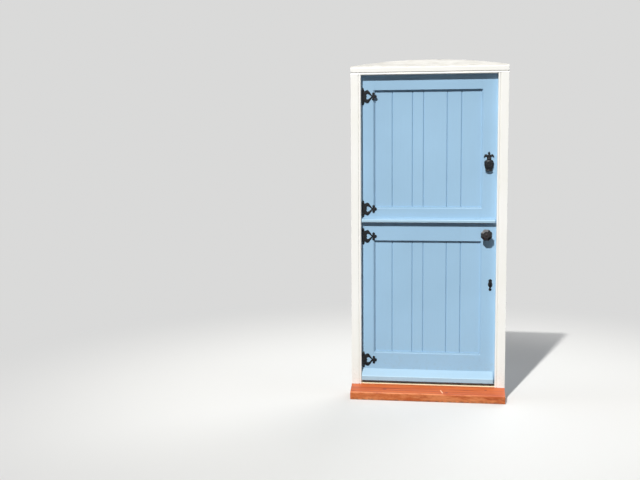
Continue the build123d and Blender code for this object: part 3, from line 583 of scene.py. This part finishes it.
def verts_of(faces):
    """The vertices of some faces, each once."""
    return list({vert for face in faces for vert in face.verts})


def cut_across(shape, place, normal):
    """Divides the faces of a shape along a plane."""
    everything = [*shape.verts, *shape.edges, *shape.faces]
    bmesh.ops.bisect_plane(shape, geom=everything, plane_co=place, plane_no=normal)


def add_copy(shape, template, matrix):
    """Adds a copy of a template mesh to a shape, moved by a matrix."""
    moved = template.copy()
    moved.transform(matrix)
    shape.from_mesh(moved)
    bpy.data.meshes.remove(moved)


def facing(place, direction, spin=0.0):
    """The matrix that stands a template, made along +Z, at a place and facing a way."""
    turn = UP.rotation_difference(direction).to_matrix().to_4x4()
    return Matrix.Translation(place) @ turn @ Matrix.Rotation(spin, 4, "Z")


def screw_template(name, radius, crown):
    """A slotted screw head standing on z = 0, with its rim just sunk."""
    sides, sunk = 24, 0.0004
    slot_half, slot_deep = radius * 0.13, crown * 0.75 + 0.0003
    shape = bmesh.new()
    bmesh.ops.create_circle(shape, cap_ends=True, segments=sides, radius=radius)
    rim = list(shape.faces)
    bmesh.ops.translate(shape, vec=(0, 0, -sunk), verts=shape.verts)
    for inset, lift in ((0.02, crown * 0.45 + sunk), (0.16, crown * 0.35), (0.30, crown * 0.20)):
        bmesh.ops.inset_region(shape, faces=rim, thickness=radius * inset, depth=0)
        bmesh.ops.translate(shape, vec=(0, 0, lift), verts=verts_of(rim))
    for side in (-1, 1):
        cut_across(shape, (0, side * slot_half, 0), INSIDE)
    floor = [f for f in shape.faces if abs(f.calc_center_median().y) < slot_half and f.normal.z > 0.3]
    cut = bmesh.ops.extrude_face_region(shape, geom=floor)
    bmesh.ops.delete(shape, geom=floor, context="FACES")
    low = [v for v in cut["geom"] if isinstance(v, bmesh.types.BMVert)]
    for vert in low:
        vert.co.z = max(-sunk, crown - slot_deep)
    return template_of(shape, name)


round_head = screw_template("round_head", 0.0036, 0.0014)
small_head = screw_template("small_head", 0.0030, 0.0009)
flush_head = screw_template("flush_head", 0.0040, 0.0005)


def screws(name, template, places, direction, material, body):
    """A set of screw heads on one face, each turned its own way."""
    turns = random.Random(name)
    shape = bmesh.new()
    for place in places:
        add_copy(shape, template, facing(Vector(place), direction, turns.uniform(0, math.pi)))
    return new_piece(name, shape, material, body, smooth=40)


def lathe(profile, sides, arc=math.tau):
    """A shape turned about the Z axis from (radius, height) pairs, starting at +X and going by -Y."""
    shape = bmesh.new()
    verts = [shape.verts.new((radius, 0, height)) for radius, height in profile]
    edges = [shape.edges.new(pair) for pair in zip(verts, verts[1:])]
    whole = arc >= math.tau - 1e-6
    bmesh.ops.spin(
        shape,
        geom=[*verts, *edges],
        axis=(0, 0, 1),
        cent=(0, 0, 0),
        angle=-arc,
        steps=sides,
        use_merge=whole,
    )
    bmesh.ops.remove_doubles(shape, verts=shape.verts, dist=1e-7)
    bmesh.ops.holes_fill(shape, edges=[edge for edge in shape.edges if edge.is_boundary])
    bmesh.ops.recalc_face_normals(shape, faces=shape.faces)
    return shape


lying = Matrix.Rotation(math.radians(90), 4, "X")  # turns a template made along +Z to face -Y

# Timber
leaf_arris, frame_arris, sill_arris = 0.0015, 0.0012, 0.0018
for leaf in ("upper", "lower"):
    for stile in ("hinge_stile", "lock_stile"):
        eased_node(f"{leaf}_{stile}", blue_upright, leaf_arris)
    for rail in ("bottom_rail", "top_rail"):
        eased_node(f"{leaf}_{rail}", blue_level, leaf_arris)
    for number in range(1, 7):
        finish_node(f"{leaf}_board_{number}", blue_boards)
eased_node("weather_bar", blue_bars, 0.0030, 3)
eased_node("weatherboard", blue_bars, 0.0050, 4)
eased_node("hinge_jamb", white_upright, frame_arris)
eased_node("lock_jamb", white_upright, frame_arris)
eased_node("head", white_level, frame_arris)
eased_node("sill", orange_stain, sill_arris)
eased_node("threshold_strip", cream, frame_arris)


def rough_infill():
    """The infill with a hand-finished top edge and a face that waves a little."""
    low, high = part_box("arch_infill")
    shape = copy_of("arch_infill")
    columns, rows = 150, 5
    chip_deep, face_inset, wave_deep = 0.0022, 0.0012, 0.0011
    for number in range(1, columns):
        x = low.x + (high.x - low.x) * number / columns
        cut_across(shape, (x, 0, 0), ACROSS)
    for number in range(1, rows):
        z = low.z + (high.z - low.z) * number / rows
        cut_across(shape, (0, 0, z), UP)
    for vert in shape.verts:
        place = vert.co.copy()
        above = (place.z - low.z) / (high.z - low.z)
        large = noise.noise(Vector((place.x * 38, 0.3, 0)))
        small = noise.noise(Vector((place.x * 110, 0.7, 0)))
        vert.co.z -= above * chip_deep * max(0.0, large + 0.6 * small + 0.35)
        if place.y < low.y + 1e-5:
            wave = noise.noise(Vector((place.x * 22, place.z * 60, 1.7)))
            vert.co.y += face_inset + wave_deep * wave
    node = "arch_infill"
    return new_piece(node + "_filled", shape, rough_white, body_of[node], (node,), 50)


rough_infill()

# Butt hinges, keeps and locks
hinge_nodes = [f"{place}_hinge" for place in ("upper_top", "upper_lower", "lower_top", "lower_bottom")]
for hinge in hinge_nodes:
    for half, side in (("jamb_leaf", 1), ("door_leaf", -1)):
        node = f"{hinge}_{half}"
        eased_node(node, steel, 0.0004, smooth=35)
        low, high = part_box(node)
        middle = (low.z + high.z) / 2
        seat = 0.0026
        face = low.x + seat if half == "jamb_leaf" else high.x - seat
        near, far = low.y + 0.008, low.y + 0.021
        rows = ((near, -0.038), (far, -0.013), (near, 0.013), (far, 0.038))
        spots = [(face, y, middle + rise) for y, rise in rows]
        screws(f"{node}_screws", flush_head, spots, ACROSS * side, steel, body_of[node])
for node in ("upper_hinge_pins", "lower_hinge_pins", "latch_keep", "deadlock_keep"):
    finish_node(node, steel)
for node in ("latch_case", "lock_case", "latch_follower", "spindle"):
    finish_node(node, lock_steel)
for node in ("latch_bolt", "deadbolt"):
    eased_node(node, brass, 0.0006)
for node, side in (("latch_keep", -1), ("deadlock_keep", -1), ("latch_case", 1), ("lock_case", 1)):
    low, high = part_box(node)
    face = low.x if side < 0 else high.x
    spots = [(face, (low.y + high.y) / 2, z) for z in (low.z + 0.010, high.z - 0.010)]
    screws(f"{node}_screws", flush_head, spots, ACROSS * side, steel, body_of[node])


# Ironwork cut from plate
def mirrored(half):
    """A closed outline from its half, mirrored in the second coordinate."""
    return [*half, *[(x, -z, kind) for x, z, kind in reversed(half) if z]]


def cut_plate(outlines, thickness, arris, inset=0.0):
    """A plate with rounded arrises from closed outlines; it stands on y = 0 and faces -Y."""
    curve = bpy.data.curves.new("outline", "CURVE")
    curve.dimensions = "2D"
    curve.fill_mode = "BOTH"
    curve.extrude = thickness / 2 - arris
    curve.bevel_depth = arris
    curve.bevel_resolution = 2
    curve.offset = -arris - inset
    for points in outlines:
        spline = curve.splines.new("BEZIER")
        spline.bezier_points.add(len(points) - 1)
        spline.use_cyclic_u = True
        spline.resolution_u = 7
        for point, (x, z, kind) in zip(spline.bezier_points, points):
            point.co = (x / 1000, z / 1000, 0)
            point.handle_left_type = point.handle_right_type = kind
    holder = bpy.data.objects.new("outline", curve)
    bpy.context.scene.collection.objects.link(holder)
    bpy.context.view_layer.update()
    mesh = bpy.data.meshes.new_from_object(holder)
    bpy.data.objects.remove(holder)
    shape = bmesh.new()
    shape.from_mesh(mesh)
    bmesh.ops.remove_doubles(shape, verts=shape.verts, dist=1e-6)
    stray = [face for face in shape.faces if any(edge.is_boundary for edge in face.edges)]
    bmesh.ops.delete(shape, geom=stray, context="FACES")
    bmesh.ops.rotate(shape, cent=(0, 0, 0), matrix=lying, verts=shape.verts)
    bmesh.ops.translate(shape, vec=(0, -thickness / 2, 0), verts=shape.verts)
    bmesh.ops.recalc_face_normals(shape, faces=shape.faces)
    return shape


front_half = [
    (0, 34, "VECTOR"),
    (11, 33.5, "AUTO"),
    (20, 37.5, "AUTO"),
    (28, 39.3, "AUTO"),
    (36, 33.5, "AUTO"),
    (47, 18.5, "AUTO"),
    (56, 6.5, "VECTOR"),
    (57.5, 11, "AUTO"),
    (56, 17, "AUTO"),
    (59.5, 23, "AUTO"),
    (65.5, 24.5, "AUTO"),
    (71, 20.5, "AUTO"),
    (72, 14.5, "AUTO"),
    (69.5, 9, "VECTOR"),
    (77, 10, "AUTO"),
    (83, 4.5, "AUTO"),
]
heart_half = [
    (24, 0, "VECTOR"),
    (20.5, 7, "AUTO"),
    (24, 15.5, "AUTO"),
    (33, 15.5, "AUTO"),
    (44, 7.5, "AUTO"),
    (52.5, 0, "VECTOR"),
]
front_outlines = (mirrored(front_half), mirrored(heart_half))
front_plate = template_of(cut_plate(front_outlines, 0.0035, 0.0008), "front_plate")
front_field = template_of(cut_plate(front_outlines, 0.0048, 0.0006, 0.0024), "front_field")
bar_half = [
    (0.0, 52.0),
    (2.0, 51.6),
    (4.4, 49.0),
    (6.2, 46.0),
    (6.5, 44.4),
    (5.6, 43.0),
    (3.9, 42.4),
    (3.9, 40.6),
    (7.3, 40.2),
    (8.1, 39.2),
    (8.1, 37.4),
    (7.5, 36.4),
    (7.5, 14.2),
    (6.7, 13.7),
    (6.7, 12.9),
    (7.5, 12.4),
]
bar_profile = [*bar_half, *[(radius, -height) for radius, height in reversed(bar_half)]]
bar_shape = lathe([(radius / 1000, height / 1000) for radius, height in bar_profile], 18, math.pi)
front_bar = template_of(bar_shape, "front_bar")
bar_out = 0.0075  # from a front's near end to the middle of its bar
bar_reach = 0.052  # of the bar above and below the middle of a front
front_screws = ((0.0275, 0.0305), (0.0275, -0.0305), (0.073, 0.0))
screw_seat = 0.0047  # of those screws in front of the leaf, just under the raised field


def hinge_fronts(node, heights):
    """Cast fronts: a half-round bar with buds, a pierced plate with a raised field, three screws."""
    body, slot = body_of[node], slot_of[node]
    shape = bmesh.new()
    bar_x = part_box(node)[0].x + bar_out
    spots = []
    for height in heights:
        place = Matrix.Translation((bar_x, leaf_face, height))
        for template in (front_plate, front_field, front_bar):
            add_copy(shape, template, place)
        for x, z in front_screws:
            spots.append((bar_x + x, leaf_face - screw_seat, height + z))
    new_piece(node + "_cast", shape, iron, body, (node,))
    screws(node + "_screws", round_head, spots, OUTSIDE, iron_smooth, body)


for node in ("upper_hinge_fronts", "lower_hinge_fronts"):
    low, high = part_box(node)
    hinge_fronts(node, (low.z + bar_reach, high.z - bar_reach))


# Knobs, roses and escutcheons
def faceted_knob(node, direction):
    """An octagonal knob with softened arrises and a domed button on its end."""
    shape = ease(copy_of(node), 0.0030, 4)
    reach = max(vert.co.dot(direction) for vert in shape.verts)
    end = [
        face
        for face in shape.faces
        if face.normal.dot(direction) > 0.999 and face.calc_center_median().dot(direction) > reach - 1e-4
    ]
    middle = sum((face.calc_center_median() for face in end), Vector()) / len(end)
    radius = max((vert.co - middle).length for face in end for vert in face.verts)
    rings, crown, button = 7, radius * 0.45, 0.003
    for ring in range(rings):
        rise = crown * (2 * (rings - ring) - 1) / rings**2
        bmesh.ops.inset_region(shape, faces=end, thickness=radius / (rings + 0.6), depth=0)
        bmesh.ops.translate(shape, vec=direction * rise, verts=verts_of(end))
    for vert in shape.verts:
        beyond = vert.co.dot(direction) - (reach - button)
        if beyond > 0:
            vert.co -= direction * beyond * crown / (button + crown)
    return new_piece(node + "_eased", shape, iron_knob, body_of[node], (node,), 28)


for side, direction in (("outer", OUTSIDE), ("inner", INSIDE)):
    knob, rose, plate = f"{side}_knob", f"{side}_rose", f"{side}_escutcheon"
    faceted_knob(knob, direction)
    eased_node(rose, iron, 0.0008)
    eased_node(plate, iron, 0.0010)
    low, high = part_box(rose)
    middle = middle_of(rose)
    face = low.y if side == "outer" else high.y
    ring = 0.0162
    turns = [math.radians(angle) for angle in (90, 210, 330)]
    spots = [(middle.x + ring * math.cos(turn), face, middle.z + ring * math.sin(turn)) for turn in turns]
    screws(rose + "_screws", small_head, spots, direction, iron_smooth, "lower_leaf")
    low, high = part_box(plate)
    middle = middle_of(plate)
    face = low.y if side == "outer" else high.y
    spots = [(middle.x, face, z) for z in (low.z + 0.0080, high.z - 0.0065)]
    screws(plate + "_screws", small_head, spots, direction, iron_smooth, "lower_leaf")


keyhole_lift = 0.004  # of the keyhole above the middle of its plate


def lever_pack():
    """The levers that the key meets inside the lock, seen only as the dark of the keyhole; they are black
    iron, as painted shade.
    """
    depth = middle_of("lock_case").y
    head_radius, slot_half, slot_drop = 0.0041, 0.0024, 0.0148
    thick, pitch = 0.0014, 0.0022
    lever = lathe([(0.0, 0.0), (head_radius, 0.0), (head_radius, thick), (0.0, thick)], 28)
    tail_place = Matrix.Translation((0, -slot_drop / 2, thick / 2))
    tail = block_template("lever_tail", 0.05)
    add_copy(lever, tail, tail_place @ sized(slot_half * 2, slot_drop, thick))
    lever_mesh = template_of(lever, "lever")
    shape = bmesh.new()
    for number in (-1, 0, 1):
        place = Vector((keyhole.x, depth + number * pitch, keyhole.z + keyhole_lift))
        add_copy(shape, lever_mesh, Matrix.Translation(place) @ lying)
    new_piece("lever_pack", shape, iron_smooth, "lower_leaf")


lever_pack()

# Stable bolt
bolt_iron_thick = 0.002
for node in ("stable_bolt", "stable_bolt_plate", "stable_bolt_keeper"):
    eased_node(node, iron_smooth, 0.0006)
for node, inset in (("stable_bolt_plate", 0.024), ("stable_bolt_keeper", 0.006)):
    low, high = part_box(node)
    face = leaf_back + bolt_iron_thick
    columns = (low.x + 0.004, high.x - 0.004)
    rows = (low.z + inset, high.z - inset) if node == "stable_bolt_plate" else (high.z - inset,)
    spots = [(x, face, z) for x in columns for z in rows]
    screws(node + "_screws", small_head, spots, INSIDE, iron_smooth, body_of[node])

# Knocker
strike_face = leaf_face - 0.0075  # back of the urn at rest, just off its stud
plate_half = [
    (42, 0, "VECTOR"),
    (37.5, 4.6, "AUTO"),
    (31.5, 7.0, "AUTO"),
    (26, 5.4, "AUTO"),
    (22.5, 3.2, "VECTOR"),
    (22.8, 10, "AUTO"),
    (26.0, 18.5, "AUTO"),
    (20, 27, "AUTO"),
    (4.5, 30.4, "VECTOR"),
    (9.5, 24.5, "AUTO"),
    (12.8, 19, "AUTO"),
    (10, 13.2, "VECTOR"),
    (-56, 12.5, "VECTOR"),
    (-64, 11, "AUTO"),
    (-74, 0, "AUTO"),
]
ear_profile = [
    (0.0021, 0.0),
    (0.0055, 0.0),
    (0.0060, 0.0005),
    (0.0060, 0.0035),
    (0.0055, 0.0040),
    (0.0021, 0.0040),
    (0.0021, 0.0),
]
eye_profile = [
    (0.0021, -0.0075),
    (0.0050, -0.0075),
    (0.0055, -0.0068),
    (0.0055, 0.0068),
    (0.0050, 0.0075),
    (0.0021, 0.0075),
    (0.0021, -0.0075),
]
urn_profile = [  # radius and height, as parts of the urn's own
    (0.0, 0.0),
    (0.73, 0.0),
    (0.76, 0.02),
    (0.76, 0.07),
    (0.73, 0.10),
    (0.68, 0.12),
    (0.67, 0.15),
    (0.72, 0.19),
    (0.80, 0.28),
    (0.90, 0.40),
    (0.98, 0.54),
    (1.00, 0.64),
    (0.97, 0.69),
    (1.00, 0.73),
    (0.98, 0.79),
    (0.93, 0.86),
    (0.84, 0.92),
    (0.68, 0.965),
    (0.50, 0.98),
    (0.47, 1.0),
    (0.0, 1.0),
]


def knocker_plate():
    """The back plate: a bud over two drooping leaves with raised fields and veins, and two ears."""
    outline = [[(x, z, kind) for z, x, kind in mirrored(plate_half)]]
    thick = 0.0040
    shape = cut_plate(outline, thick, 0.0010)
    field = cut_plate(outline, 0.0056, 0.0008, 0.0016)
    add_copy(shape, template_of(field, "knocker_field"), Matrix.Identity(4))
    rib = lathe([(0.0, 0.0), (0.0011, 0.002), (0.0013, 0.010), (0.0, 0.020)], 10)
    rib_mesh = template_of(rib, "leaf_rib")
    for side in (-1, 1):
        for lean, reach, rise in ((118, 1.0, 0.0205), (98, 0.75, 0.0215), (112, 0.6, 0.0180)):
            turn = Matrix.Rotation(math.radians(side * lean), 4, "Y")
            place = Matrix.Translation((side * 0.0085, -0.0055, rise))
            add_copy(shape, rib_mesh, place @ turn @ Matrix.Scale(reach, 4))
    add_copy(shape, rib_mesh, Matrix.Translation((0, -0.0055, 0.0205)) @ sized(1.6, 1.2, 0.95))
    stud = lathe([(0.0, -0.0005), (0.0088, -0.0005), (0.0088, 0.0022), (0.0078, 0.003), (0.0, 0.003)], 28)
    stud_place = Matrix.Translation((0, -thick, -0.063))
    add_copy(shape, template_of(stud, "strike_stud"), stud_place @ lying)
    ear_mesh = template_of(lathe(ear_profile, 28), "ear")
    web_mesh = block_template("ear_web", 0.06)
    reach = leaf_face - thick - pivot.y
    for side in (-1, 1):
        start = 0.0078 if side > 0 else -0.0118
        centre = Matrix.Translation((start, -thick - reach, 0))
        add_copy(shape, ear_mesh, centre @ Matrix.Rotation(math.radians(90), 4, "Y"))
        middle = Matrix.Translation((side * 0.0098, -thick - reach * 0.36, 0))
        add_copy(shape, web_mesh, middle @ sized(0.0039, reach * 0.74, 0.0118))
    bmesh.ops.translate(shape, vec=(pivot.x, leaf_face, pivot.z), verts=shape.verts)
    return new_piece("knocker_plate_cast", shape, iron, "upper_leaf", ("knocker_plate",))


def knocker_urn():
    """The hanging urn: a half-round vase with mouldings, gadroons and a wreathed oval."""
    low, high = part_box("knocker_urn")
    back = strike_face
    deep = back - low.y
    top, foot = pivot.z - 0.007, low.z
    tall, half = top - foot, (high.x - low.x) / 2
    shape = lathe([(half * radius, tall * height) for radius, height in urn_profile], 64, math.pi)
    flutes, flute_deep, flattened = 22, 0.035, 0.86
    for vert in shape.verts:
        radius = math.hypot(vert.co.x, vert.co.y)
        if radius > half * 0.2 and vert.co.y < -1e-6:
            level = vert.co.z / tall
            angle = math.atan2(vert.co.y, vert.co.x)
            swell = max(0.0, 1 - abs(level - 0.34) / 0.22)
            ripple = 1 + flute_deep * swell * math.cos(flutes * angle)
            vert.co.x *= ripple
            vert.co.y *= ripple
        vert.co.y *= deep / half * flattened
    bmesh.ops.translate(shape, vec=(pivot.x, back, foot), verts=shape.verts)
    add_wreath(shape, Vector((pivot.x, low.y + deep * 0.14, foot + tall * 0.60)), half * 0.56)
    add_copy(shape, template_of(lathe(eye_profile, 32), "knocker_eye"), facing(pivot, ACROSS))
    neck_place = Matrix.Translation((pivot.x, pivot.y, top))
    add_copy(shape, block_template("knocker_neck", 0.12), neck_place @ sized(0.013, 0.0065, 0.008))
    return new_piece("knocker_urn_cast", shape, iron, "knocker", ("knocker_urn",), 40)


def add_wreath(shape, centre, radius):
    """An oval ring of small leaves with a boss, lying on the front of the urn."""
    leaf = bmesh.new()
    bmesh.ops.create_icosphere(leaf, subdivisions=2, radius=1)
    bmesh.ops.transform(leaf, matrix=sized(0.0034, 0.0012, 0.0017), verts=leaf.verts)
    leaf_mesh = template_of(leaf, "wreath_leaf")
    count = 22
    for number in range(count):
        angle = math.tau * number / count
        for lean, out in ((0.45, 1.05), (-0.45, 0.90)):
            x, z = radius * out * math.cos(angle), radius * out * 0.92 * math.sin(angle)
            drop = 0.0022 * (x / radius) ** 2
            place = Matrix.Translation(centre + Vector((x, drop, z)))
            add_copy(shape, leaf_mesh, place @ Matrix.Rotation(-(angle + math.pi / 2) + lean, 4, "Y"))
    boss = bmesh.new()
    bmesh.ops.create_uvsphere(boss, u_segments=24, v_segments=12, radius=1)
    boss_mesh = template_of(boss, "wreath_boss")
    petals, reach = 8, radius * 0.42
    add_copy(shape, boss_mesh, Matrix.Translation(centre) @ sized(0.0032, 0.0018, 0.0032))
    for number in range(petals):
        angle = math.tau * number / petals
        place = centre + Vector((reach * math.cos(angle), 0.0004, reach * math.sin(angle)))
        turn = Matrix.Rotation(-angle, 4, "Y")
        add_copy(shape, boss_mesh, Matrix.Translation(place) @ turn @ sized(0.0042, 0.0014, 0.0019))


knocker_plate()
knocker_urn()
eased_node("knocker_pin", iron_smooth, 0.0003)


# Floor, light and camera
backdrop = (0.70, 0.70, 0.695)
floor_bounce = (0.045, 0.045, 0.045)  # colour of the floor for the light that it throws back


def pale_floor():
    """A wide pale floor that fades into the backdrop for the camera."""
    surface = Finish("pale_floor", roughness=0.9)
    glow = surface.node("ShaderNodeEmission", sockets={"Color": (*backdrop, 1), "Strength": 1.0})
    far = surface.ramp(surface.length(surface.stretched((1, 1, 0))), 1.2, 3.4)
    seen = surface.node("ShaderNodeLightPath", output="Is Camera Ray")
    mirrored = surface.node("ShaderNodeLightPath", output="Is Glossy Ray")
    surface.feed("Base Color", surface.mix(seen, floor_bounce, (0.72, 0.72, 0.715)))
    lit = Socket(surface, surface.shader.outputs[0])
    surface.show(surface.node("ShaderNodeMixShader", sockets={0: far * (seen + mirrored), 1: lit, 2: glow}))
    shape = bmesh.new()
    bmesh.ops.create_grid(shape, x_segments=1, y_segments=1, size=30)
    mesh = template_of(shape, "floor")
    mesh.materials.append(surface.material)
    floor = bpy.data.objects.new("floor", mesh)
    floor.location.z = cad_box[0].z - 0.0005
    bpy.context.scene.collection.objects.link(floor)


def studio_world():
    """An even pale surround: its colour for the camera and reflections, and a soft light."""
    world = bpy.data.worlds.new("studio")
    bpy.context.scene.world = world
    world.use_nodes = True
    sky = Nodes(world.node_tree)
    soft = sky.node("ShaderNodeBackground", sockets={"Color": (0.84, 0.92, 1.0, 1), "Strength": 0.06})
    shown = sky.node("ShaderNodeBackground", sockets={"Color": (*backdrop, 1), "Strength": 1.0})
    rays = ("Is Camera Ray", "Is Glossy Ray", "Is Transmission Ray")
    seen, mirrored, through = [sky.node("ShaderNodeLightPath", output=ray) for ray in rays]
    factor = seen.larger(mirrored).larger(through)
    sky.show(sky.node("ShaderNodeMixShader", sockets={0: factor, 1: soft, 2: shown}))


def sun_lamp(name, travel, energy, spread, colour):
    """A distant lamp whose light travels one way; its spread in degrees softens the shadows."""
    lamp = bpy.data.lights.new(name, "SUN")
    lamp.energy = energy
    lamp.angle = math.radians(spread)
    lamp.color = colour
    holder = bpy.data.objects.new(name, lamp)
    holder.rotation_euler = (-UP).rotation_difference(Vector(travel)).to_euler()
    bpy.context.scene.collection.objects.link(holder)


def soft_lamp(name, place, size, power):
    """A square softbox turned to the knob, which puts lights on the facets of the ironwork."""
    lamp = bpy.data.lights.new(name, "AREA")
    lamp.shape = "SQUARE"
    lamp.size = size
    lamp.energy = power
    holder = bpy.data.objects.new(name, lamp)
    holder.location = place
    holder.rotation_euler = (-UP).rotation_difference(knob_middle - Vector(place)).to_euler()
    holder.visible_camera = False
    bpy.context.scene.collection.objects.link(holder)


def photo_camera():
    """The camera at the photograph's place and angle."""
    lens = bpy.data.cameras.new("camera")
    lens.lens = focal_length
    lens.sensor_width = film_width
    lens.sensor_fit = "HORIZONTAL"
    lens.clip_end = 200
    camera = bpy.data.objects.new("camera", lens)
    camera.location = camera_place
    camera.rotation_euler = [math.radians(angle) for angle in camera_turn]
    bpy.context.scene.collection.objects.link(camera)
    bpy.context.scene.camera = camera


pale_floor()
studio_world()
sun_lamp("key", (0.30, 1.0, -1.05), 3.95, 1.5, (1.0, 0.985, 0.95))
soft_lamp("top_softbox", (0.43, -0.27, 3.6), 0.6, 7)
soft_lamp("left_softbox", (-1.85, -0.26, 2.98), 0.6, 10)
sun_lamp("back_fill", (-0.55, -1.0, -0.45), 1.8, 50, (0.97, 0.985, 1.0))
photo_camera()
bpy.context.scene.view_settings.view_transform = "Standard"
